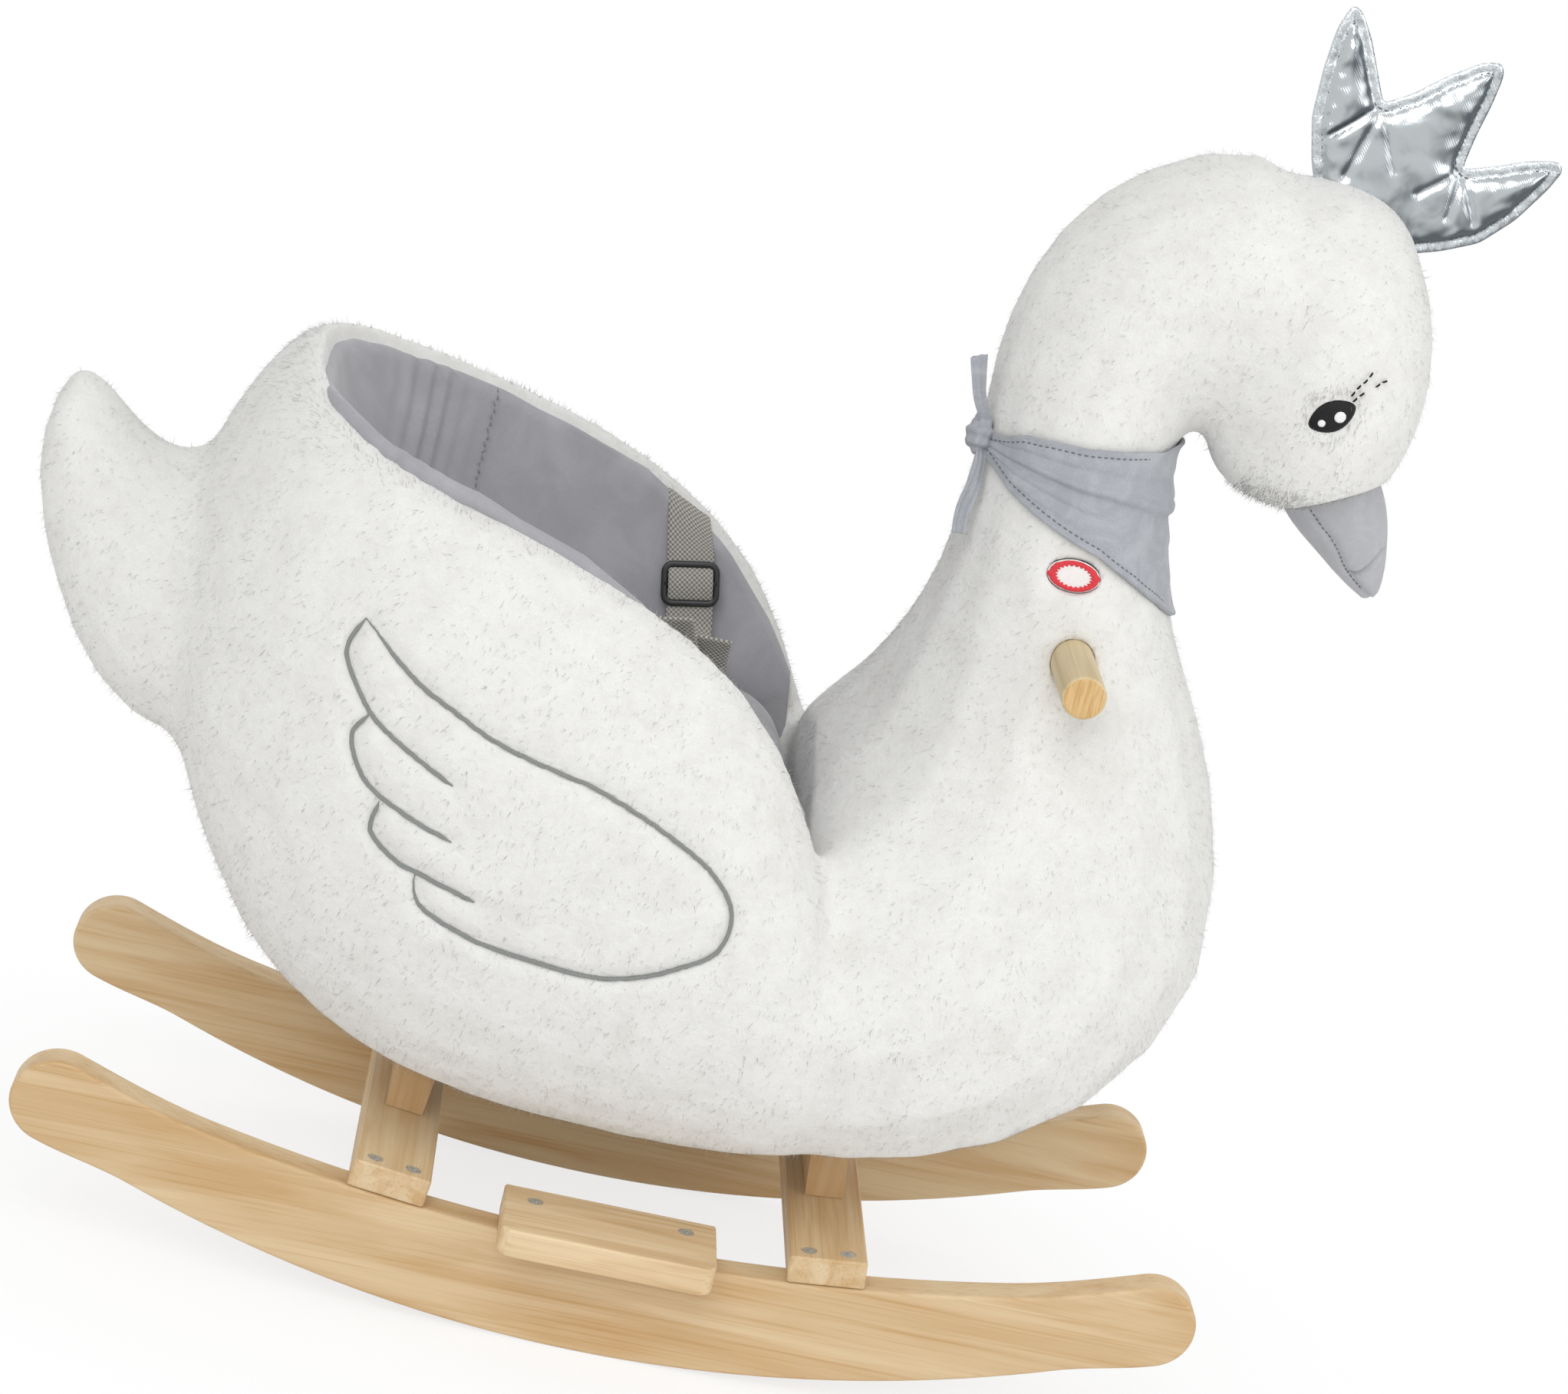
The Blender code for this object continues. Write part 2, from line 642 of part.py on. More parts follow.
def make_crossbars(rockers):
    """Crossbars on the rockers, each with two screws an end, and the risers on them."""
    slope, seat = bar_seat()
    length = ROCKER_SPACING + ROCKER_THICK
    cutter = half_space("riser_trim", (-FAR, -FAR, BASE_Z - GAP), (FAR, FAR, BASE_Z + FAR))
    risers = []
    for label, end in (("front", 1), ("rear", -1)):
        turn = -end * slope
        normal = Vector((math.sin(turn), 0, math.cos(turn)))
        along = Vector((math.cos(turn), 0, -math.sin(turn)))
        foot = Vector((end * BAR_X, 0, seat))
        centre = foot + normal * (GAP + BAR_THICK / 2)
        top = foot + normal * (GAP + BAR_THICK)
        lean = math.degrees(turn)
        bar = block("crossbar_" + label, (BAR_WIDTH, length, BAR_THICK), centre, "pine", lean)
        bevel(bar, ARRIS)
        for side in (1, -1):
            for number, offset in ((1, -BAR_SCREW_PITCH / 2), (2, BAR_SCREW_PITCH / 2)):
                point = top + along * offset + Vector((0, side * rocker_side(), 0)) - normal * SCREW_SINK
                hand = "left" if side > 0 else "right"
                screw(f"screw_{label}_{hand}_{number}", point, lean)
                screw_hole(bar, point, lean, SCREW_LENGTH + GAP)
                screw_hole(rockers[side], point, lean, SCREW_LENGTH + GAP)
        rise = BASE_Z - top.z + RISER_SPARE
        middle = top + normal * (GAP + rise / 2)
        riser = block("riser_" + label, (RISER_THICK, RISER_WIDTH, rise), middle, "pine", lean)
        boolean(riser, cutter)
        slot = block("riser_slot_" + label, (RISER_THICK + 2 * GAP, RISER_WIDTH + 2 * GAP, rise), middle, None, lean)
        risers.append(slot)
    return risers


def make_footrests(rockers):
    """A footrest on each rocker, reaching out past its outer face."""
    seat = top_edge(STEP_LENGTH / 2 + LAND_MARGIN)
    inner = rocker_side() - ROCKER_THICK / 2 - STEP_INBOARD
    for name, side in (("footrest_left", 1), ("footrest_right", -1)):
        middle = (0, side * (inner + STEP_DEPTH / 2), seat + GAP + STEP_THICK / 2)
        step = block(name, (STEP_LENGTH, STEP_DEPTH, STEP_THICK), middle, "pine")
        round_outer_corners(step, side)
        bevel(step, ARRIS)
        for number, offset in ((1, -STEP_SCREW_PITCH / 2), (2, STEP_SCREW_PITCH / 2)):
            height = seat + GAP + STEP_THICK - SCREW_SINK
            point = (offset, side * (inner + STEP_SCREW_EDGE), height)
            screw(f"screw_{name}_{number}", point, 0)
            screw_hole(step, point, 0, SCREW_LENGTH + GAP)
            screw_hole(rockers[side], point, 0, SCREW_LENGTH + GAP)


def round_outer_corners(step, side):
    """Round the two upright corners on a footrest's outer edge."""
    work = bmesh.new()
    work.from_mesh(step.data)
    upright = []
    for edge in work.edges:
        first, second = edge.verts
        if abs(first.co.z - second.co.z) > STEP_THICK / 2 and first.co.y * side > 0:
            upright.append(edge)
    bmesh.ops.bevel(work, geom=upright, offset=STEP_CORNER, segments=4, profile=0.5, affect="EDGES")
    work.to_mesh(step.data)
    work.free()


def frame_piece(name, size, centre, turn_deg=0.0):
    """A board of the inner frame and the slot that the stuffing leaves for it."""
    board = block(name, size, centre, "plywood", turn_deg)
    slot = block(name + "_slot", [edge + 2 * GAP for edge in size], centre, None, turn_deg)
    return board, slot


def make_frame():
    """The boards inside the plush, and their slots by name."""
    slots = {}
    base_size = (BASE_FRONT - BASE_REAR, BASE_WIDTH, BASE_THICK)
    base_middle = ((BASE_FRONT + BASE_REAR) / 2, 0, BASE_Z + BASE_THICK / 2)
    slots["base"] = frame_piece("base_board", base_size, base_middle)[1]
    base_top = BASE_Z + BASE_THICK
    bearer_low = base_top + GAP
    bearer_high = SEAT_Z - SEAT_THICK - GAP
    for label, x in (("rear", BEARER_X[0]), ("front", BEARER_X[1])):
        size = (BEARER_THICK, BEARER_WIDTH, bearer_high - bearer_low)
        middle = (x, 0, (bearer_low + bearer_high) / 2)
        slots["bearer_" + label] = frame_piece("seat_bearer_" + label, size, middle)[1]
    seat_size = (SEAT_FRONT - SEAT_REAR, SEAT_WIDTH, SEAT_THICK)
    seat_middle = ((SEAT_FRONT + SEAT_REAR) / 2, 0, SEAT_Z - SEAT_THICK / 2)
    slots["seat"] = frame_piece("seat_board", seat_size, seat_middle)[1]
    tilt = math.radians(-BACK_TILT_DEG)
    foot_z = base_top + GAP + BACK_THICK / 2 * abs(math.sin(tilt))
    way = Vector((math.sin(tilt), 0, math.cos(tilt)))
    middle = Vector((BACK_FOOT_X, 0, foot_z)) + way * BACK_LENGTH / 2
    back_size = (BACK_THICK, BACK_WIDTH, BACK_LENGTH)
    slots["back"] = frame_piece("back_board", back_size, middle, -BACK_TILT_DEG)[1]
    post_low = base_top + GAP
    post_size = (POST_WIDTH, POST_THICK, POST_TOP - post_low)
    post, slots["post"] = frame_piece("neck_post", post_size, (POST_X, 0, (POST_TOP + post_low) / 2))
    bore = rod("handle_bore", HANDLE_DIA / 2 + GAP, HANDLE_LENGTH, (POST_X, 0, HANDLE_Z), None, 32, "Y")
    boolean(post, bore)
    slots["handle"] = bore
    handle = rod("handle_bar", HANDLE_DIA / 2, HANDLE_LENGTH, (POST_X, 0, HANDLE_Z), "pine", 32, "Y")
    bevel(handle, HANDLE_EASE, 2)
    return slots


def make_bucket(name, inset=0.0, reach=0.0):
    """The hollow of the seat: upright-sided, with a leaning back and an open front.

    An inset draws its walls in, and a reach carries its floor, top and front further out.
    """
    sections = []
    levels = list(BUCKET_LEVELS)
    for end, way in ((0, -1), (-1, 1)):
        z, rear, half_width = levels[end]
        levels[end] = (z + way * reach, rear, half_width)
    front = BUCKET_FRONT_X + reach
    for z, rear, half_width in levels:
        middle = (rear + inset + front) / 2
        half_length = (front - rear - inset) / 2
        scale = 1 / (2 / 3 + BUCKET_SQUARE / 3)
        sections.append([
            Vector((middle + half_length * scale * dx, (half_width - inset) * scale * dy, z))
            for dx, dy in ((1, 0), (BUCKET_SQUARE, BUCKET_SQUARE), (0, 1), (-BUCKET_SQUARE, BUCKET_SQUARE),
                           (-1, 0), (-BUCKET_SQUARE, -BUCKET_SQUARE), (0, -1), (BUCKET_SQUARE, -BUCKET_SQUARE))])
    return loft(name, sections)


def copy_of(source, name, material):
    """A piece or cutter with a copy of a form's mesh."""
    piece = place(name, source.data.copy(), material)
    piece.matrix_local = source.matrix_local.copy()
    return piece


def make_body(slots, risers):
    """The belly, the two wings and the back bolster, parted from one form, with the tail."""
    form = stuffed("body_form", BODY_RINGS)
    bucket = make_bucket("bucket")
    below = half_space("below_seat", (-FAR, -FAR, -FAR), (FAR, FAR, SEAT_Z))
    floor = SEAT_Z + GAP
    left = half_space("left_side", (BACK_SPLIT_X + GAP, 0, floor), (FAR, FAR, FAR))
    right = half_space("right_side", (BACK_SPLIT_X + GAP, -FAR, floor), (FAR, 0, FAR))
    rear = half_space("rear_side", (-FAR, -FAR, floor), (BACK_SPLIT_X, FAR, FAR))
    belly = boolean(copy_of(form, "belly", "plush"), below, "INTERSECT")
    for slot in (*risers, *slots.values()):
        if slot.name != "handle_bore":
            boolean(belly, slot)
    for name, side in (("wing_left", left), ("wing_right", right), ("back_bolster", rear)):
        wall = boolean(copy_of(form, name, "plush"), bucket)
        boolean(wall, side, "INTERSECT")
        if side is rear:
            boolean(wall, slots["back"])
    make_lining(form, (("lining_left", left), ("lining_right", right), ("lining_back", rear)))
    tail = stuffed("tail", TAIL_RINGS, "plush", 1)
    boolean(tail, grown(form, GAP, "body_clear"))
    return form, bucket


def make_lining(form, sides):
    """The velour lining of the bucket, parted like the walls behind it."""
    outer = make_bucket("lining_outer", GAP)
    inner = make_bucket("lining_inner", GAP + LINING_THICK, HOLLOW_REACH)
    limit = grown(form, LINING_PROUD, "lining_limit")
    saddle = half_space("lining_front", (CHEST_SEAM_X - GAP, -FAR, 0), (FAR, FAR, FAR))
    for name, side in sides:
        piece = copy_of(outer, name, "velour")
        boolean(piece, inner)
        boolean(piece, saddle)
        boolean(piece, limit, "INTERSECT")
        boolean(piece, side, "INTERSECT")


def make_seat_cushion():
    """The crowned seat pad: flat on the seat board and pressed against the lining."""
    cushion = stuffed("seat_cushion", CUSHION_RINGS, "velour")
    room = half_space("cushion_room", (-FAR, -FAR, SEAT_Z + GAP), (CHEST_SEAM_X - GAP, FAR, FAR))
    boolean(cushion, room, "INTERSECT")
    boolean(cushion, make_bucket("cushion_sides", LINING_THICK + 2 * GAP, HOLLOW_REACH), "INTERSECT")


def bucket_above_seat(bucket):
    """The part of the seat hollow that lies above the seat board."""
    above = half_space("hollow_floor", (-FAR, -FAR, -FAR), (FAR, FAR, SEAT_Z))
    return settled(boolean(copy_of(bucket, "seat_hollow", None), above))


def make_neck(form, bucket, slots, riser):
    """The chest and the neck, parted from one form, and the head and beak on it."""
    chest_form = stuffed("chest_form", CHEST_RINGS, None, 1)
    head = stuffed("head", HEAD_RINGS, "plush")
    shell = settled(boolean(copy_of(form, "seat_shell", None), bucket_above_seat(bucket)))
    shell_clear = grown(shell, 2 * GAP, "seat_shell_clear")
    front = half_space("chest_side", (CHEST_SEAM_X, -FAR, -FAR), (FAR, FAR, NECK_SEAM_Z))
    upper = half_space("neck_side", (-FAR, -FAR, NECK_SEAM_Z + GAP), (FAR, FAR, FAR))
    chest = boolean(copy_of(chest_form, "chest", "plush"), front, "INTERSECT")
    trimmed(boolean(chest, shell_clear))
    for slot in (slots["post"], slots["handle"], slots["base"], riser):
        boolean(chest, slot)
    for cutter in sound_clearances():
        boolean(chest, cutter)
    neck = boolean(copy_of(chest_form, "neck", "plush"), upper, "INTERSECT")
    boolean(neck, slots["post"])
    head_clear = grown(head, GAP, "head_clear")
    boolean(neck, head_clear)
    beak = stuffed("beak", BEAK_RINGS, "velour", 1)
    boolean(beak, head_clear)
    return chest_form, head_clear


def make_eyes(head_clear):
    """A flat almond eye on each side of the head."""
    for name, side in (("eye_left", 1), ("eye_right", -1)):
        work = bmesh.new()
        bmesh.ops.create_uvsphere(work, u_segments=20, v_segments=10, radius=1.0)
        bmesh.ops.scale(work, vec=EYE_SIZE, verts=work.verts)
        eye = from_bmesh(name, work, "thread_black")
        eye.location = (EYE_X, side * EYE_Y, EYE_Z)
        eye.rotation_euler = (0, -math.radians(EYE_TILT_DEG), 0)
        boolean(eye, head_clear)


def make_crown(head_clear):
    """The padded crown, a flat outline with rounded faces, sewn upright on the head."""
    curve = bpy.data.curves.new("crown", "CURVE")
    curve.dimensions = "2D"
    curve.fill_mode = "BOTH"
    curve.extrude = CROWN_THICK / 2 - CROWN_ROUND
    curve.bevel_depth = CROWN_ROUND
    curve.bevel_resolution = 2
    curve.offset = -CROWN_ROUND
    spline = curve.splines.new("POLY")
    spline.points.add(len(CROWN_OUTLINE) - 1)
    for point, (x, z) in zip(spline.points, CROWN_OUTLINE):
        point.co = (x, z, 0, 1)
    spline.use_cyclic_u = True
    crown = curve_mesh("crown", curve, "lame")
    boolean(crown, head_clear)


def make_scarf(chest_form):
    """A folded kerchief round the neck: its band, knot and two free ends."""
    inner = grown(chest_form, SCARF_LIFT, "scarf_inner")
    outer = grown(chest_form, SCARF_LIFT + SCARF_THICK, "scarf_outer")
    wedge = outline_solid("scarf_wedge", SCARF_OUTLINE, SCARF_WEDGE)
    scarf = copy_of(outer, "scarf", "velour")
    boolean(scarf, inner)
    boolean(scarf, wedge, "INTERSECT")
    scarf_clear = grown(chest_form, SCARF_LIFT + SCARF_THICK + GAP, "scarf_clear")
    work = bmesh.new()
    bmesh.ops.create_uvsphere(work, u_segments=12, v_segments=8, radius=1.0)
    bmesh.ops.scale(work, vec=KNOT_SIZE, verts=work.verts)
    knot = from_bmesh("scarf_knot", work, "velour")
    knot.location = KNOT
    boolean(knot, scarf_clear)
    knot_clear = grown(knot, GAP, "knot_clear")
    for name, path in SCARF_TAILS.items():
        tail = ribbon(name, [Vector(point) for point in path], Vector(SCARF_TAIL_FACING), "velour")
        boolean(tail, knot_clear)
        boolean(tail, scarf_clear)


def ribbon(name, path, normal, material):
    """A free end of the scarf: a flat strip along a path, facing one way."""
    normal = normal.normalized()
    sections = []
    for index, point in enumerate(path):
        before = path[max(index - 1, 0)]
        after = path[min(index + 1, len(path) - 1)]
        across = (after - before).cross(normal).normalized() * SCARF_TAIL_WIDTH
        thick = normal * SCARF_TAIL_THICK / 2
        sections.append([point + across + thick, point - across + thick,
                         point - across - thick, point + across - thick])
    work = bmesh.new()
    rows = [[work.verts.new(point) for point in section] for section in sections]
    for row, following in zip(rows, rows[1:]):
        for here in range(4):
            after = (here + 1) % 4
            work.faces.new((row[here], row[after], following[after], following[here]))
    work.faces.new(rows[0])
    work.faces.new(rows[-1])
    return from_bmesh(name, work, material, smooth=False)


def webbing(name, path):
    """A strip of webbing along a path, with its width along X."""
    work = bmesh.new()
    rows = [[work.verts.new((x + half * WEB_WIDTH, y, z)) for half in (-0.5, 0.5)] for x, y, z in path]
    for row, following in zip(rows, rows[1:]):
        work.faces.new((row[0], row[1], following[1], following[0]))
    strip = from_bmesh(name, work, "webbing", smooth=False)
    step = strip.modifiers.new("thickness", "SOLIDIFY")
    step.thickness = WEB_THICK
    step.offset = 0
    step.use_even_offset = True
    return strip


def make_belt():
    """Two webbing straps sewn to the lining, their sliders, the buckle and the strap's loose ends."""
    room = make_bucket("strap_room", LINING_THICK + 2 * GAP, HOLLOW_REACH)
    path = (STRAP_END, STRAP_TOP, STRAP_FOOT, *STRAP_BEND)
    in_socket = SOCKET_LENGTH - BUCKLE_BITE + GAP
    in_plug = GAP + PLUG_LENGTH - BUCKLE_BITE + GAP
    for name, side, end in (("belt_left", 1, in_socket), ("belt_right", -1, in_plug)):
        strap = webbing(name, [(x, side * y, z) for x, y, z in (*path, (BELT_X, end, BELT_Z))])
        boolean(strap, room, "INTERSECT")
    for name, side in (("slider_left", 1), ("slider_right", -1)):
        make_slider(name, side)
    make_buckle()
    plug_top = BELT_Z + BUCKLE_THICK / 2 + GAP
    for name, tail in BELT_TAILS.items():
        webbing(name, [(x, y, plug_top + rise) for x, y, rise in tail])


def make_slider(name, side):
    """A three-bar slide: the middle bar lies over the webbing, the end bars under it."""
    foot = Vector((STRAP_FOOT[0], side * STRAP_FOOT[1], STRAP_FOOT[2]))
    top = Vector((STRAP_TOP[0], side * STRAP_TOP[1], STRAP_TOP[2]))
    slider = block(name, (SLIDER_WIDTH, SLIDER_THICK, SLIDER_HEIGHT), (0, 0, 0), "acetal")
    inside = WEB_WIDTH + 2 * SLIDER_PLAY
    layer = WEB_THICK + 2 * GAP
    past = 0.01
    lane = block(name + "_lane", (inside, layer, SLIDER_HEIGHT + past), (0, 0, 0))
    window_height = (SLIDER_HEIGHT - 3 * SLIDER_BAR) / 2
    window_step = (window_height + SLIDER_BAR) / 2
    cutters = [lane]
    for label, shift in (("upper", window_step), ("lower", -window_step)):
        cutters.append(block(f"{name}_{label}", (inside, SLIDER_THICK + past, window_height), (0, 0, shift)))
    over = (SLIDER_THICK - layer) / 2 + past
    inward = -side * (layer / 2 + over / 2)
    cutters.append(block(name + "_under", (inside, over, SLIDER_BAR + 2 * GAP), (0, -inward, 0)))
    for label, shift in (("top", 1), ("foot", -1)):
        end = shift * (SLIDER_HEIGHT - SLIDER_BAR / 2 + past) / 2
        size = (inside, over, SLIDER_BAR / 2 + past + 2 * GAP)
        cutters.append(block(f"{name}_{label}", size, (0, inward, end)))
    for cutter in cutters:
        cutter.parent = slider
        boolean(slider, cutter)
    along = (top - foot).normalized()
    across = Vector((1, 0, 0))
    across = (across - along * across.dot(along)).normalized()
    turn = Matrix((across, along.cross(across), along)).transposed().to_4x4()
    slider.matrix_local = Matrix.Translation(foot.lerp(top, SLIDER_AT)) @ turn
    return slider


def make_buckle():
    """A side-release buckle: a socket on the left strap and a plug on the right one."""
    inner_width = BUCKLE_WIDTH - 2 * BUCKLE_WALL
    inner_thick = BUCKLE_THICK - 2 * BUCKLE_WALL
    strap_room = WEB_THICK + 2 * GAP
    socket = block("buckle_socket", (BUCKLE_WIDTH, SOCKET_LENGTH, BUCKLE_THICK),
                   (BELT_X, SOCKET_LENGTH / 2, BELT_Z), "acetal")
    bevel(socket, BUCKLE_EASE, 2)
    pocket = block("socket_pocket", (inner_width, 2 * (TONGUE_LENGTH + GAP), inner_thick), (BELT_X, 0, BELT_Z))
    boolean(socket, pocket)
    base_y = -GAP - PLUG_LENGTH / 2
    plug = block("buckle_plug", (BUCKLE_WIDTH, PLUG_LENGTH, BUCKLE_THICK), (BELT_X, base_y, BELT_Z), "acetal")
    bevel(plug, BUCKLE_EASE, 2)
    root = 0.004
    tongue = block("plug_tongue", (inner_width - 2 * GAP, TONGUE_LENGTH + root, inner_thick - 2 * GAP),
                   (BELT_X, (TONGUE_LENGTH - root) / 2, BELT_Z))
    boolean(plug, tongue, "UNION")
    for target, y in ((socket, SOCKET_LENGTH), (plug, -GAP - PLUG_LENGTH)):
        slot = block(target.name + "_slot", (WEB_WIDTH + 2 * GAP, 2 * BUCKLE_BITE, strap_room), (BELT_X, y, BELT_Z))
        boolean(target, slot)


def sound_clearances():
    """The pocket that the chest leaves for the sound case and its button."""
    depth = SOUND_DEPTH + 2 * GAP
    size = (SOUND_WIDTH + 2 * GAP, depth, SOUND_HEIGHT + 2 * GAP)
    case = block("sound_pocket", size, (SOUND_X, SOUND_FACE_Y + SOUND_DEPTH / 2, SOUND_Z))
    work = bmesh.new()
    bmesh.ops.create_cone(work, cap_ends=True, segments=32, radius1=1, radius2=1,
                          depth=PATCH_REACH + PATCH_BITE)
    bmesh.ops.rotate(work, verts=work.verts, matrix=Matrix.Rotation(math.pi / 2, 3, "X"))
    oval = (PATCH_WIDTH / 2 + GAP, 1, PATCH_HEIGHT / 2 + GAP)
    bmesh.ops.scale(work, vec=oval, verts=work.verts)
    hole = from_bmesh("patch_hole", work)
    hole.location = (SOUND_X, SOUND_FACE_Y + (PATCH_BITE - PATCH_REACH) / 2, SOUND_Z)
    return case, hole


def make_sound_module():
    """The sound case in the chest: a tray, its back cover, a speaker and the press button."""
    middle_y = SOUND_FACE_Y + SOUND_DEPTH / 2
    case_depth = SOUND_DEPTH - SOUND_COVER - GAP
    case = block("sound_case", (SOUND_WIDTH, case_depth, SOUND_HEIGHT),
                 (SOUND_X, SOUND_FACE_Y + case_depth / 2, SOUND_Z), "case_plastic")
    inner = (SOUND_WIDTH - 2 * SOUND_WALL, SOUND_DEPTH, SOUND_HEIGHT - 2 * SOUND_WALL)
    hollow = block("case_hollow", inner, (SOUND_X, middle_y + SOUND_WALL, SOUND_Z))
    boolean(case, hollow)
    stem = STEM_DIA / 2
    bore = rod("case_bore", stem + GAP, SOUND_DEPTH, (SOUND_X, SOUND_FACE_Y, SOUND_Z), None, 24, "Y")
    boolean(case, bore)
    cover_y = SOUND_FACE_Y + SOUND_DEPTH - SOUND_COVER / 2
    block("sound_cover", (SOUND_WIDTH, SOUND_COVER, SOUND_HEIGHT), (SOUND_X, cover_y, SOUND_Z), "case_plastic")
    speaker_y = SOUND_FACE_Y + SOUND_DEPTH - SOUND_COVER - GAP - SPEAKER_DEPTH / 2
    rod("speaker", SPEAKER_DIA / 2, SPEAKER_DEPTH, (SOUND_X, speaker_y, SOUND_Z), "steel", 24, "Y")
    cap_back = SOUND_FACE_Y - BUTTON_TRAVEL - GAP
    cap_front = PATCH_Y + PATCH_THICK / 2 + GAP
    cap_depth = cap_back - cap_front
    button = rod("press_button", BUTTON_DIA / 2, cap_depth, (SOUND_X, (cap_back + cap_front) / 2, SOUND_Z),
                 "case_plastic", 24, "Y")
    stem_length = BUTTON_TRAVEL + SOUND_WALL + STEM_REACH
    overlap = 0.002
    pin = rod("button_stem", stem, stem_length + overlap,
              (0, cap_depth / 2 + (stem_length - overlap) / 2, 0), None, 24, "Y")
    pin.parent = button
    boolean(button, pin, "UNION")
    work = bmesh.new()
    bmesh.ops.create_cone(work, cap_ends=True, segments=32, radius1=0.5, radius2=0.5, depth=PATCH_THICK)
    bmesh.ops.rotate(work, verts=work.verts, matrix=Matrix.Rotation(math.pi / 2, 3, "X"))
    bmesh.ops.scale(work, vec=(PATCH_WIDTH, 1, PATCH_HEIGHT), verts=work.verts)
    patch = from_bmesh("press_patch", work, "thread_red")
    patch.location = (SOUND_X, PATCH_Y, SOUND_Z)


def build_swan():
    """Build the toy from the floor up."""
    rockers = make_rockers()
    risers = make_crossbars(rockers)
    make_footrests(rockers)
    slots = make_frame()
    form, bucket = make_body(slots, risers)
    make_seat_cushion()
    chest_form, head_clear = make_neck(form, bucket, slots, risers[0])
    make_eyes(head_clear)
    make_crown(head_clear)
    make_scarf(chest_form)
    make_belt()
    make_sound_module()


build_swan()
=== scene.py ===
"""Looks of a rocking swan: plush covers, velour seat, belt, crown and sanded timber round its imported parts."""

import json
import logging
import math
from collections.abc import Iterator, Sequence
from contextlib import contextmanager
from dataclasses import dataclass
from enum import Enum

import bmesh
import bpy
import numpy as np
from mathutils import Matrix, Vector, noise
from mathutils.bvhtree import BVHTree
from mathutils.geometry import delaunay_2d_cdt

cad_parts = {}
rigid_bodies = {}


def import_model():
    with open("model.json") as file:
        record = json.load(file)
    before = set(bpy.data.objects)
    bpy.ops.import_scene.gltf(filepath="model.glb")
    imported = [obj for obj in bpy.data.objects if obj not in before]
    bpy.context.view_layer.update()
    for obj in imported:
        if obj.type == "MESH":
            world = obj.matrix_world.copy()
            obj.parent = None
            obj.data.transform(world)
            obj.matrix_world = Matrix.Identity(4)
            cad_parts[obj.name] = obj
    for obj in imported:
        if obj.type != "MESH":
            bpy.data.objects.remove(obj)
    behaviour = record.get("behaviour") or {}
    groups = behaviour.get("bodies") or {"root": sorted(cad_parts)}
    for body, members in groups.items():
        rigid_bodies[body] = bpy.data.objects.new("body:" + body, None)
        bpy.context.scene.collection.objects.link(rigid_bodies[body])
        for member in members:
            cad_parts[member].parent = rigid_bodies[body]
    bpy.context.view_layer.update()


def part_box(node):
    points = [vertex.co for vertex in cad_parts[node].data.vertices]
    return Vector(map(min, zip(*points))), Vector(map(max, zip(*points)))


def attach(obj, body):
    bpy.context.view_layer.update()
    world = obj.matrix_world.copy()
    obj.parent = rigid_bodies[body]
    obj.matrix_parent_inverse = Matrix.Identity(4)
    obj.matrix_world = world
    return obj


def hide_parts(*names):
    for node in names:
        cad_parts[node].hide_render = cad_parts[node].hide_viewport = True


LOG = logging.getLogger("rocking_swan")
MM = 0.001
# The toy's own origin, the middle of its rockers, in the record's frame
TOY_X = 0.0115
MAIN_BODY = "frame"
# Points closer together than this are one
WELD = 0.02 * MM
# Rays that look for a skin from the side start this far out
RAY_FROM = 0.3
Point = tuple[float, float, float]
Flat = tuple[float, float]
Piece = bpy.types.Object
Tree = bpy.types.NodeTree
Node = bpy.types.Node
Socket = bpy.types.NodeSocket


class Side(Enum):
    """The two sides of the toy, as signs of Y."""

    LEFT = 1
    RIGHT = -1

    @property
    def label(self) -> str:
        """The side as node names spell it."""
        return self.name.lower()


class Grain(Enum):
    """The way the fibres of a piece of timber run."""

    ALONG = 0
    ACROSS = 1
    UPRIGHT = 2


def linear(colour: str) -> tuple[float, float, float, float]:
    """Turn an sRGB hex value into linear RGB with full alpha."""
    parts = [int(colour[start:start + 2], 16) / 255 for start in (0, 2, 4)]
    return (*(part / 12.92 if part <= 0.04045 else ((part + 0.055) / 1.055) ** 2.4 for part in parts), 1.0)


def feed(node: Node, values: dict) -> None:
    """Set a node's inputs by name or number, and link those whose value is the output of another."""
    for key, value in values.items():
        if isinstance(value, Socket):
            node.id_data.links.new(value, node.inputs[key])
        else:
            node.inputs[key].default_value = value


def add(tree: Tree, kind: str, values: dict | None = None, out: int | str = 0, **settings) -> Socket:
    """Add a shader node.

    Args:
        tree: The node tree it goes into.
        kind: Blender's type name, after ShaderNode.
        values: Its inputs by name or number, each a value or the output socket to link.
        out: The output that is wanted, by name or number.
        settings: The node's own properties.

    Returns:
        That output.
    """
    node = tree.nodes.new("ShaderNode" + kind)
    for key, value in settings.items():
        setattr(node, key, value)
    feed(node, values or {})
    return node.outputs[out]


def per(size: float) -> float:
    """Scale of a pattern whose cells measure this many metres."""
    return 1.0 / size


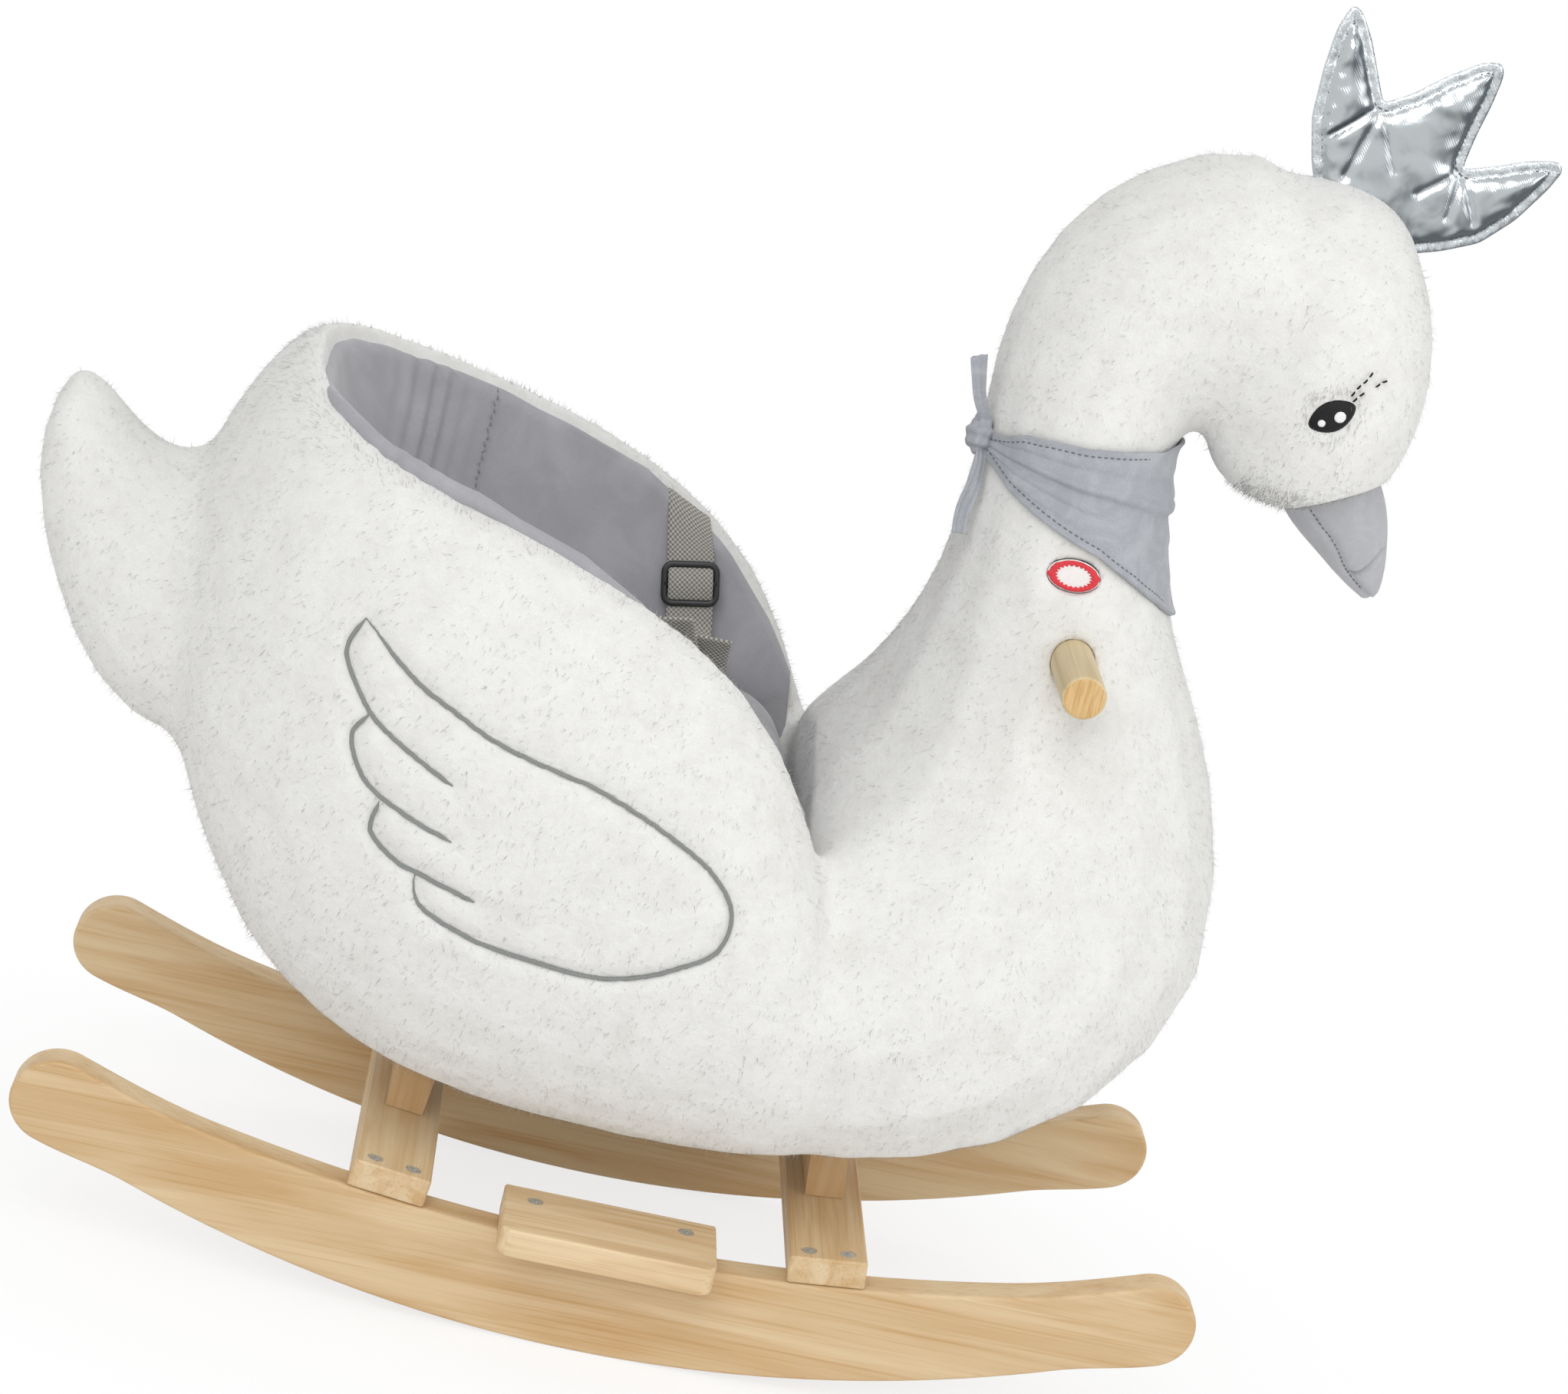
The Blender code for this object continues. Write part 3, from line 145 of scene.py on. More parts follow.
@dataclass(frozen=True)
class Finish:
    """A surface as it is made: its colour, its roughness, and what detail adds to them."""

    name: str
    colour: str
    roughness: float

    def material(self) -> bpy.types.Material:
        """Return the finish's material, made once."""
        found = bpy.data.materials.get(self.name)
        if found:
            return found
        made = bpy.data.materials.new(self.name)
        made.use_nodes = True
        tree = made.node_tree
        shader = tree.nodes["Principled BSDF"]
        feed(shader, {"Base Color": linear(self.colour), "Roughness": self.roughness})
        self.detail(tree, shader, add(tree, "TexCoord", out="Object"))
        return made

    def detail(self, tree: Tree, shader: Node, where: Socket) -> None:
        """Add what the surface shows close up. A plain finish has a fine grain only."""
        grit = add(tree, "TexNoise", {"Vector": where, "Scale": per(0.8 * MM), "Detail": 2.0})
        feed(shader, {"Normal": add(tree, "Bump", {"Height": grit, "Strength": 0.1, "Distance": 0.1 * MM})})


@dataclass(frozen=True)
class Plush(Finish):
    """Polyester plush, knitted with a cut pile: soft clumps of white fibre, with a little warm painted shade in the
    hollows between them.
    """

    # The colour of the random mottle and of the painted shade in the hollows
    shade: str = "DCDBD7"
    clump: float = 7 * MM
    # A fibre is far finer than the render shows, so it is drawn at 1.6 mm
    fibre: float = 1.6 * MM

    def detail(self, tree: Tree, shader: Node, where: Socket) -> None:
        """Mottle the colour at random, paint shade into the hollows between clumps, and raise the fibres."""
        mottle = add(tree, "TexNoise", {"Vector": where, "Scale": per(26 * MM), "Detail": 3.0})
        clumps = add(tree, "TexNoise", {"Vector": where, "Scale": per(self.clump), "Detail": 2.0, "Distortion": 0.8})
        fibres = add(tree, "TexNoise", {"Vector": where, "Scale": per(self.fibre), "Detail": 3.0,
                                        "Roughness": 0.7, "Distortion": 1.2})
        patch = add(tree, "MapRange", {"Value": mottle, "From Min": 0.42, "From Max": 0.75, "To Max": 0.45})
        # Painted shade: the colour darkens where the clump noise is low, in the hollows of the raised nap
        hollow = add(tree, "MapRange", {"Value": clumps, "From Min": 0.62, "From Max": 0.32, "To Max": 0.35})
        depth = add(tree, "Math", {0: patch, 1: hollow}, operation="ADD", use_clamp=True)
        colour = add(tree, "Mix", {0: depth, 6: linear(self.colour), 7: linear(self.shade)}, 2, data_type="RGBA")
        nap = add(tree, "Math", {0: clumps, 1: 1.5, 2: fibres}, operation="MULTIPLY_ADD")
        bump = add(tree, "Bump", {"Height": nap, "Strength": 0.35, "Distance": 1.2 * MM})
        feed(shader, {"Base Color": colour, "Normal": bump, "Sheen Weight": 0.15, "Sheen Roughness": 0.6,
                      "Specular IOR Level": 0.1})


@dataclass(frozen=True)
class PlushPile(Finish):
    """The plush's cut fibre ends: white polyester that lets light through, so tufts hardly shade each other."""

    shade: str = "E4E3E0"
    clump: float = 18 * MM
    through: float = 0.6

    def detail(self, tree: Tree, shader: Node, where: Socket) -> None:
        """Mottle the colour and let some light through."""
        mottle = add(tree, "TexNoise", {"Vector": where, "Scale": per(self.clump), "Detail": 3.0})
        share = add(tree, "MapRange", {"Value": mottle, "From Min": 0.4, "From Max": 0.7})
        colour = add(tree, "Mix", {0: share, 6: linear(self.colour), 7: linear(self.shade)}, 2, data_type="RGBA")
        feed(shader, {"Base Color": colour, "Specular IOR Level": 0.1})
        glow = add(tree, "BsdfTranslucent", {"Color": colour})
        blend = add(tree, "MixShader", {0: self.through, 1: shader.outputs[0], 2: glow})
        feed(tree.nodes["Material Output"], {0: blend})


@dataclass(frozen=True)
class Velour(Finish):
    """Brushed velour: a short dense nap that shows hand marks and pales at a grazing angle."""

    rubbed: str = "BFBEC3"
    marks: float = 22 * MM
    # The nap's fibres are too fine to show, so it is drawn at 1 mm
    nap: float = 1.0 * MM
    depth: float = 0.3

    def detail(self, tree: Tree, shader: Node, where: Socket) -> None:
        """Lay lighter marks where the nap is rubbed the other way, over a fine pile."""
        rub = add(tree, "TexNoise", {"Vector": where, "Scale": per(self.marks), "Detail": 4.0, "Distortion": 1.5})
        pile = add(tree, "TexNoise", {"Vector": where, "Scale": per(self.nap), "Detail": 2.0, "Roughness": 0.8})
        mark = add(tree, "MapRange", {"Value": rub, "From Min": 0.4, "From Max": 0.7, "To Max": 0.55})
        fleck = add(tree, "MapRange", {"Value": pile, "From Min": 0.35, "From Max": 0.75, "To Min": -0.15,
                                       "To Max": 0.3})
        share = add(tree, "Math", {0: mark, 1: fleck}, operation="ADD", use_clamp=True)
        colour = add(tree, "Mix", {0: share, 6: linear(self.colour), 7: linear(self.rubbed)}, 2, data_type="RGBA")
        bump = add(tree, "Bump", {"Height": pile, "Strength": self.depth, "Distance": 0.5 * MM})
        feed(shader, {"Base Color": colour, "Normal": bump, "Sheen Weight": 0.35, "Sheen Roughness": 0.4,
                      "Specular IOR Level": 0.15})


@dataclass(frozen=True)
class Lame(Finish):
    """Silver lame: metal foil on a knitted ground, so it mirrors softly through a fine diagonal rib."""

    dull: str = "5C6266"
    # The knit's ribs are 0.5 mm apart, and drawn at 1.1 mm so that they show
    rib: float = 1.1 * MM
    crinkle: float = 19 * MM
    # Painted dark reflection and shade: the foil's colour is darkened where it faces this way, away from the lamps
    dull_way: Point = (0.75, 0.25, -0.6)

    def detail(self, tree: Tree, shader: Node, where: Socket) -> None:
        """Press ribs and crinkles into the foil, and paint dark reflections and shade where it faces away from the
        lamps and in the crinkles' hollows.
        """
        turned = add(tree, "Mapping", {"Vector": where, "Rotation": (0.0, math.radians(38), 0.0)})
        ribs = add(tree, "TexWave", {"Vector": turned, "Scale": 0.314 * per(self.rib), "Distortion": 1.0,
                                     "Detail": 1.0}, 1, bands_direction="X")
        folds = add(tree, "TexNoise", {"Vector": where, "Scale": per(self.crinkle), "Detail": 2.0,
                                       "Roughness": 0.45, "Distortion": 1.2})
        # Painted reflection and shade: the colour is darker where the foil faces away from the lamps and where the
        # crinkles sink
        facing = add(tree, "VectorMath", {0: add(tree, "NewGeometry", out="Normal"), 1: self.dull_way}, 1,
                     operation="DOT_PRODUCT")
        painted_shade_mask = add(tree, "Math", {0: folds, 1: -0.9, 2: facing}, operation="MULTIPLY_ADD")
        painted_reflection_share = add(tree, "MapRange", {"Value": painted_shade_mask, "From Min": -0.85, "From Max": -0.25},
                     interpolation_type="SMOOTHSTEP")
        colour = add(tree, "Mix", {0: painted_reflection_share, 6: linear(self.colour), 7: linear(self.dull)}, 2, data_type="RGBA")
        fine = add(tree, "Bump", {"Height": ribs, "Strength": 0.25, "Distance": 0.12 * MM})
        bump = add(tree, "Bump", {"Height": folds, "Strength": 0.5, "Distance": 0.8 * MM, "Normal": fine})
        feed(shader, {"Base Color": colour, "Normal": bump, "Metallic": 1.0})


@dataclass(frozen=True)
class Webbing(Finish):
    """Polypropylene webbing, woven in a coarse basket weave whose crossings catch the light."""

    # Colours of the painted highlights on the crossings and of the painted shade between them
    light: str = "C4C1B9"
    dark: str = "6E6B66"
    pitch: float = 2.6 * MM

    def detail(self, tree: Tree, shader: Node, where: Socket) -> None:
        """Weave along the strip's own map, which is in metres across and along it, with painted highlights on the
        crossings and painted shade between them.
        """
        strip = add(tree, "SeparateXYZ", {0: add(tree, "TexCoord", out="UV")}).node
        waves = []
        for axis in (0, 1):
            phase = add(tree, "Math", {0: strip.outputs[axis], 1: 2 * math.pi / self.pitch}, operation="MULTIPLY")
            waves.append(add(tree, "Math", {0: phase}, operation="SINE"))
        crossing = add(tree, "Math", {0: waves[0], 1: waves[1]}, operation="MULTIPLY")
        frayed = add(tree, "TexNoise", {"Vector": where, "Scale": per(0.9 * MM), "Detail": 2.0})
        height = add(tree, "Math", {0: frayed, 1: 0.5, 2: crossing}, operation="MULTIPLY_ADD")
        # Partly painted light: the colour is lighter where the weave stands high and darker where it sinks, with a
        # random fray on top
        share = add(tree, "MapRange", {"Value": height, "From Min": -0.6, "From Max": 1.1})
        colour = add(tree, "Mix", {0: share, 6: linear(self.dark), 7: linear(self.light)}, 2, data_type="RGBA")
        bump = add(tree, "Bump", {"Height": height, "Strength": 0.7, "Distance": 0.4 * MM})
        feed(shader, {"Base Color": colour, "Normal": bump, "Sheen Weight": 0.2})


@dataclass(frozen=True)
class Pine(Finish):
    """Sanded pine under a matt varnish: pale, with broad soft figure and thin darker growth lines."""

    streak: str = "C39C69"
    grain: Grain = Grain.ALONG
    figure: Flat = (190 * MM, 17 * MM)
    lines: Flat = (110 * MM, 1.5 * MM)

    def stretched(self, size: Flat) -> Point:
        """Scales in X, Y and Z of a pattern that measures so much along and across the grain."""
        scales = [per(size[1])] * 3
        scales[self.grain.value] = per(size[0])
        return tuple(scales)

    def detail(self, tree: Tree, shader: Node, where: Socket) -> None:
        """Draw the figure, the growth lines and the pores along the grain."""
        broad = add(tree, "VectorMath", {0: where, 1: self.stretched(self.figure)}, operation="MULTIPLY")
        narrow = add(tree, "VectorMath", {0: where, 1: self.stretched(self.lines)}, operation="MULTIPLY")
        figure = add(tree, "TexNoise", {"Vector": broad, "Scale": 1.0, "Detail": 3.0, "Distortion": 0.9})
        lines = add(tree, "TexNoise", {"Vector": narrow, "Scale": 1.0, "Detail": 3.0, "Roughness": 0.6,
                                       "Distortion": 0.3})
        ringed = add(tree, "MapRange", {"Value": figure, "From Min": 0.38, "From Max": 0.68, "To Max": 0.75})
        lined = add(tree, "MapRange", {"Value": lines, "From Min": 0.5, "From Max": 0.8, "To Max": 0.6})
        share = add(tree, "Math", {0: ringed, 1: lined}, operation="ADD", use_clamp=True)
        colour = add(tree, "Mix", {0: share, 6: linear(self.colour), 7: linear(self.streak)}, 2, data_type="RGBA")
        rough = add(tree, "MapRange", {"Value": lines, "To Min": self.roughness - 0.08,
                                       "To Max": self.roughness + 0.12})
        bump = add(tree, "Bump", {"Height": lines, "Strength": 0.25, "Distance": 0.15 * MM})
        feed(shader, {"Base Color": colour, "Roughness": rough, "Normal": bump})


@dataclass(frozen=True)
class Thread(Finish):
    """Rayon embroidery thread laid in satin stitch: glossy ridges a thread apart."""

    # The threads are 0.4 mm apart, and drawn at 0.9 mm so that they show
    pitch: float = 0.9 * MM
    turn_deg: float = 35.0

    def detail(self, tree: Tree, shader: Node, where: Socket) -> None:
        """Ridge the surface by threads that lie beside each other."""
        turned = add(tree, "Mapping", {"Vector": where, "Rotation": (0.0, math.radians(self.turn_deg), 0.0)})
        ridges = add(tree, "TexWave", {"Vector": turned, "Scale": 0.314 * per(self.pitch), "Distortion": 1.5,
                                       "Detail": 2.0}, 1, bands_direction="X")
        bump = add(tree, "Bump", {"Height": ridges, "Strength": 0.6, "Distance": 0.3 * MM})
        feed(shader, {"Normal": bump, "Specular IOR Level": 0.3})


@dataclass(frozen=True)
class Acetal(Finish):
    """Moulded acetal: near black, satin from a spark-eroded mould."""

    def detail(self, tree: Tree, shader: Node, where: Socket) -> None:
        """Give the moulded skin its fine erosion and a little variation of gloss."""
        grit = add(tree, "TexNoise", {"Vector": where, "Scale": per(0.7 * MM), "Detail": 2.0})
        wear = add(tree, "TexNoise", {"Vector": where, "Scale": per(9 * MM), "Detail": 2.0})
        rough = add(tree, "MapRange", {"Value": wear, "To Min": self.roughness - 0.1, "To Max": self.roughness + 0.1})
        bump = add(tree, "Bump", {"Height": grit, "Strength": 0.2, "Distance": 0.08 * MM})
        feed(shader, {"Roughness": rough, "Normal": bump})


@dataclass(frozen=True)
class ZincSteel(Finish):
    """Zinc-plated steel: bright with a faint drawn grain."""

    def detail(self, tree: Tree, shader: Node, where: Socket) -> None:
        """Make it metal and vary its polish."""
        wear = add(tree, "TexNoise", {"Vector": where, "Scale": per(1.5 * MM), "Detail": 3.0})
        rough = add(tree, "MapRange", {"Value": wear, "To Min": self.roughness - 0.1, "To Max": self.roughness + 0.15})
        feed(shader, {"Metallic": 1.0, "Roughness": rough})


PLUSH = Plush("white_plush", "E9E9E7", 0.95)
PILE = PlushPile("white_plush_pile", "F0F0EE", 0.95)
VELOUR = Velour("grey_velour", "A3A2A7", 0.9, rubbed="B2B1B7", marks=34 * MM)
BEAK_VELOUR = Velour("beak_velour", "B1B2B6", 0.9, rubbed="BFC0C5", marks=14 * MM, depth=0.8)
SCARF_VELOUR = Velour("scarf_velour", "A3A6AD", 0.9, rubbed="BDC0C5", marks=18 * MM, depth=0.8)
LAME = Lame("silver_lame", "BBC0C3", 0.2)
LAME_EDGE = Lame("silver_lame_edge", "C9CED1", 0.33, dull="8E9498", rib=1.5 * MM, crinkle=2.6 * MM)
WEBBING = Webbing("grey_webbing", "97948F", 0.8)
ACETAL = Acetal("black_acetal", "232425", 0.42)
ZINC = ZincSteel("zinc_plated_steel", "DEDEDA", 0.42)
GREY_THREAD = Thread("grey_thread", "8A8D8B", 0.5)
LINING_THREAD = Thread("lining_thread", "8F8E95", 0.6)
SEAM_THREAD = Thread("seam_thread", "6F7176", 0.55)
BLACK_THREAD = Thread("black_thread", "0C0C0D", 0.5)
WHITE_THREAD = Thread("white_thread", "F1F1F3", 0.5, turn_deg=-40.0)
RED_THREAD = Thread("red_thread", "DE3F48", 0.5, turn_deg=80.0)
PATCH_CLOTH = Velour("patch_cloth", "EDE9E8", 0.9, rubbed="F2EEEE", marks=6 * MM)
ROCKER_PINE = Pine("pine_rocker", "DBC39C", 0.5)
BAR_PINE = Pine("pine_crossbar", "DCC59F", 0.5, grain=Grain.ACROSS, figure=(150 * MM, 13 * MM))
RISER_PINE = Pine("pine_riser", "D2B288", 0.55, grain=Grain.UPRIGHT, figure=(90 * MM, 11 * MM))
STEP_PINE = Pine("pine_footrest", "E4CCA6", 0.5, figure=(120 * MM, 12 * MM))
DOWEL_PINE = Pine("pine_dowel", "D9C6A0", 0.5, streak="C4AE83", grain=Grain.ACROSS, figure=(160 * MM, 7 * MM))
DOWEL_END = Pine("pine_end_grain", "D9B781", 0.6, streak="BC9257", grain=Grain.UPRIGHT,
                 figure=(20 * MM, 2.6 * MM), lines=(9 * MM, 1.1 * MM))
PLY = Pine("raw_plywood", "C9AE84", 0.7, streak="A98759")
CASE_ABS = Acetal("white_case", "DCDCDA", 0.5)


def toy(x: float, y: float, z: float) -> Vector:
    """A point given from the middle of the rockers, in the record's frame."""
    return Vector((x + TOY_X, y, z))


def grid_faces(rows: int, columns: int, closed: bool = False) -> list[tuple[int, int, int, int]]:
    """Faces of a grid of points.

    Args:
        rows: Points along the first way.
        columns: Points along the second way.
        closed: Whether the second way runs round.

    Returns:
        Four indices a face.
    """
    faces = []
    for row in range(rows - 1):
        for column in range(columns if closed else columns - 1):
            after = (column + 1) % columns
            faces.append((row * columns + column, row * columns + after,
                          (row + 1) * columns + after, (row + 1) * columns + column))
    return faces


def tube_faces(rings: int, spokes: int) -> list[tuple[int, ...]]:
    """Faces of a tube of rings, closed at both ends."""
    last = (rings - 1) * spokes
    return grid_faces(rings, spokes, closed=True) + [tuple(range(spokes)),
                                                     tuple(range(last + spokes - 1, last - 1, -1))]


def turns_of(count: int) -> list[float]:
    """Angles of this many spokes, in radians."""
    return [2 * math.pi * spoke / count for spoke in range(count)]


def ways_of(spine: Sequence[Vector]) -> list[Vector]:
    """The way a line of points runs at each of them."""
    last = len(spine) - 1
    return [(spine[min(index + 1, last)] - spine[max(index - 1, 0)]).normalized() for index in range(last + 1)]


def plate_faces(rings: int, spokes: int) -> list[tuple[int, ...]]:
    """Faces of a round plate: the rings of its front, then those of its back, joined along their last ring."""
    count = rings * spokes
    faces = grid_faces(rings, spokes, closed=True)
    faces += [tuple(count + index for index in reversed(face)) for face in faces]
    edge = count - spokes
    return faces + [(edge + spoke, edge + (spoke + 1) % spokes, count + edge + (spoke + 1) % spokes,
                     count + edge + spoke) for spoke in range(spokes)]


def shown(name: str, mesh: bpy.types.Mesh) -> Piece:
    """Put a mesh into the scene as an object."""
    piece = bpy.data.objects.new(name, mesh)
    bpy.context.scene.collection.objects.link(piece)
    return piece


def coat(piece: Piece, finish: Finish, smooth: bool = True) -> Piece:
    """Give a piece one finish all over, and shade its faces smooth or flat."""
    mesh = piece.data
    mesh.materials.clear()
    mesh.materials.append(finish.material())
    mesh.polygons.foreach_set("use_smooth", [smooth] * len(mesh.polygons))
    return piece


def make_piece(name: str, points: Sequence, faces: Sequence, finish: Finish, smooth: bool = True) -> Piece:
    """Make a mesh object.

    Args:
        name: The piece's name.
        points: Its vertices in the record's frame, in metres.
        faces: Its faces.
        finish: What it is made of.
        smooth: Whether its faces are shaded smooth.

    Returns:
        The object, linked to the scene.
    """
    mesh = bpy.data.meshes.new(name)
    mesh.from_pydata([tuple(point) for point in points], [], [tuple(face) for face in faces])
    return coat(shown(name, mesh), finish, smooth)


@contextmanager
def edited(piece: Piece) -> Iterator[bmesh.types.BMesh]:
    """Open a piece's mesh for a change, and write it back."""
    work = bmesh.new()
    work.from_mesh(piece.data)
    yield work
    work.to_mesh(piece.data)
    work.free()


def settle(piece: Piece) -> Piece:
    """Apply a piece's modifiers to its mesh."""
    bpy.context.view_layer.update()
    graph = bpy.context.evaluated_depsgraph_get()
    mesh = bpy.data.meshes.new_from_object(piece.evaluated_get(graph))
    mesh.name = piece.name
    piece.modifiers.clear()
    piece.data = mesh
    return piece


def refine(piece: Piece, kind: str, **settings) -> Piece:
    """Run one modifier over a piece and apply it."""
    step = piece.modifiers.new(kind.lower(), kind)
    for key, value in settings.items():
        setattr(step, key, value)
    return settle(piece)


def closed_mesh(piece: Piece) -> Piece:
    """Weld a piece's doubled points and turn its faces outward."""
    with edited(piece) as work:
        bmesh.ops.remove_doubles(work, verts=work.verts, dist=WELD)
        bmesh.ops.recalc_face_normals(work, faces=work.faces)
    return piece


def soft_copy(name: str, nodes: Sequence[str], finish: Finish, voxel: float, passes: int, swell: float = 0.0) -> Piece:
    """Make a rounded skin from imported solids, joined where they touch.

    Args:
        name: The piece's name.
        nodes: The solids that it covers.
        finish: What it is made of.
        voxel: Size of its faces.
        passes: How often its edges are eased.
        swell: How far it stands out past the solids.

    Returns:
        The piece.
    """
    work = bmesh.new()
    for node in nodes:
        solid = bmesh.new()
        solid.from_mesh(bpy.data.objects[node].data)
        bmesh.ops.remove_doubles(solid, verts=solid.verts, dist=WELD)
        bmesh.ops.recalc_face_normals(solid, faces=solid.faces)
        solid.normal_update()
        for vertex in solid.verts:
            vertex.co += vertex.normal * (0.3 * MM + swell)
        mesh = bpy.data.meshes.new("solid")
        solid.to_mesh(mesh)
        solid.free()
        work.from_mesh(mesh)
        bpy.data.meshes.remove(mesh)
    mesh = bpy.data.meshes.new(name)
    work.to_mesh(mesh)
    work.free()
    piece = shown(name, mesh)
    refine(piece, "REMESH", mode="VOXEL", voxel_size=voxel, adaptivity=0.0)
    refine(piece, "SMOOTH", factor=0.5, iterations=passes)
    return largest_shell(coat(piece, finish))


def largest_shell(piece: Piece) -> Piece:
    """Keep only the largest connected shell of a piece."""
    with edited(piece) as work:
        unseen = set(work.verts)
        shells = []
        while unseen:
            shell = {unseen.pop()}
            edge = list(shell)
            while edge:
                near = {link.other_vert(vertex) for vertex in edge for link in vertex.link_edges} - shell
                shell |= near
                edge = list(near)
            unseen -= shell
            shells.append(shell)
        shells.sort(key=len)
        for shell in shells[:-1]:
            bmesh.ops.delete(work, geom=list(shell), context="VERTS")
    return piece


def points_of(piece: Piece, field: str = "co") -> np.ndarray:
    """The places, or the normals, of a piece's vertices as rows of X, Y and Z."""
    flat = np.empty(len(piece.data.vertices) * 3)
    piece.data.vertices.foreach_get(field, flat)
    return flat.reshape(-1, 3)


def move(piece: Piece, points: np.ndarray) -> None:
    """Put a piece's vertices at new places."""
    piece.data.vertices.foreach_set("co", points.ravel())
    piece.data.update()


def shift(piece: Piece, distance: np.ndarray) -> None:
    """Move each vertex of a piece outward by its own distance."""
    move(piece, points_of(piece) + points_of(piece, "normal") * distance[:, None])


def read(table: Sequence[Sequence[float]], at: float | np.ndarray, column: int = 1) -> np.ndarray:
    """Read a column of a table at some values of its first column."""
    return np.interp(at, [row[0] for row in table], [row[column] for row in table])


def line_distance(points: np.ndarray, path: Sequence[Flat]) -> np.ndarray:
    """Distance of each flat point from a broken line."""
    corners = np.array(path, float)
    best = np.full(len(points), np.inf)
    for start, end in zip(corners, corners[1:]):
        way = end - start
        share = np.clip((points - start) @ way / max(way @ way, 1e-12), 0, 1)
        best = np.minimum(best, np.linalg.norm(points - start - share[:, None] * way, axis=1))
    return best


def smooth_path(points: Sequence[Sequence[float]], step: float) -> np.ndarray:
    """Points a step apart on a Catmull-Rom curve through the given ones."""
    knots = np.array(points, float)
    knots = np.vstack((2 * knots[0] - knots[1], knots, 2 * knots[-1] - knots[-2]))
    dense = []
    for index in range(1, len(knots) - 2):
        before, start, end, after = knots[index - 1:index + 3]
        count = max(2, int(np.linalg.norm(end - start) / step * 3))
        for t in np.arange(count) / count:
            dense.append(0.5 * (2 * start + (end - before) * t + (2 * before - 5 * start + 4 * end - after) * t**2
                                + (3 * start - before - 3 * end + after) * t**3))
    dense = np.vstack((dense, knots[-2]))
    run = np.concatenate(([0], np.cumsum(np.linalg.norm(np.diff(dense, axis=0), axis=1))))
    places = np.linspace(0, run[-1], max(2, int(round(run[-1] / step)) + 1))
    return np.column_stack([np.interp(places, run, dense[:, axis]) for axis in range(knots.shape[1])])


def surface(*pieces: Piece) -> BVHTree:
    """A search tree over the faces of some pieces."""
    points: list[Vector] = []
    faces: list[list[int]] = []
    for piece in pieces:
        first = len(points)
        points += [piece.matrix_world @ vertex.co for vertex in piece.data.vertices]
        faces += [[first + index for index in face.vertices] for face in piece.data.polygons]
    return BVHTree.FromPolygons(points, faces)


def on_side(tree: BVHTree, side: Side, x: float, z: float) -> tuple[Vector, Vector]:
    """The point and normal of a skin beside a point of the profile."""
    return tree.ray_cast(Vector((x + TOY_X, side.value * RAY_FROM, z)), Vector((0, -side.value, 0)))[:2]


def laid(tree: BVHTree, side: Side, path: Sequence[Flat], step: float, lift: float) -> tuple[list, list]:
    """Lay a line of the profile on a skin.

    Args:
        tree: The skin.
        side: Which side of the toy.
        path: The line, in x and z from the middle of the rockers.
        step: How far apart its points are.
        lift: How far it stands off the skin.

    Returns:
        Its points, and the skin's normal at each.
    """
    spine, ups = [], []
    for x, z in smooth_path(path, step):
        place, normal = on_side(tree, side, x, z)
        if place:
            spine.append(place + normal * lift)
            ups.append(normal)
    return spine, ups


def strand(name: str, spine: Sequence[Vector], ups: Sequence[Vector], width: float, thick: float,
           finish: Finish, taper: float = 0.0) -> Piece:
    """Make a flat rounded strip along a spine, mapped in metres across and along it.

    Args:
        name: The piece's name.
        spine: Points along its middle.
        ups: The way its face looks at each point.
        width: Its width.
        thick: Its thickness.
        finish: What it is made of.
        taper: Share of its length over which each end narrows to a point.

    Returns:
        The piece, a closed mesh.
    """
    section = ((-0.5, -0.25), (-0.44, -0.5), (-0.2, -0.5), (0.2, -0.5), (0.44, -0.5), (0.5, -0.25),
               (0.5, 0.25), (0.44, 0.5), (0.2, 0.5), (-0.2, 0.5), (-0.44, 0.5), (-0.5, 0.25))
    rows = len(spine)
    points, runs, run = [], [], 0.0
    for index, (middle, up, along) in enumerate(zip(spine, ups, ways_of(spine))):
        across = along.cross(up).normalized()
        lift = across.cross(along).normalized()
        share = index / (rows - 1)
        narrow = min(1.0, 0.12 + min(share, 1 - share) / taper) if taper else 1.0
        points += [middle + across * (dx * width * narrow) + lift * (dz * thick * max(narrow, 0.4))
                   for dx, dz in section]
        run += (middle - spine[index - 1]).length if index else 0.0
        runs.append(run)
    count = len(section)
    faces = grid_faces(rows, count, closed=True)
    faces += [tuple(range(count - 1, -1, -1)), tuple(range((rows - 1) * count, rows * count))]
    piece = make_piece(name, points, faces, finish)
    layer = piece.data.uv_layers.new(name="strip")
    for loop in piece.data.loops:
        row, column = divmod(loop.vertex_index, count)
        layer.data[loop.index].uv = (section[column][0] * width, runs[row])
    return closed_mesh(piece)


def keep(piece: Piece, nodes: Sequence[str] = (), body: str = MAIN_BODY) -> Piece:
    """Fix a finished piece to the toy.

    Args:
        piece: The piece.
        nodes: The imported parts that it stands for.
        body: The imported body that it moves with.

    Returns:
        The piece.
    """
    if nodes:
        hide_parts(*nodes)
    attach(piece, body)
    LOG.info("%s: %d faces, rides on %s", piece.name, len(piece.data.polygons), body)
    return piece


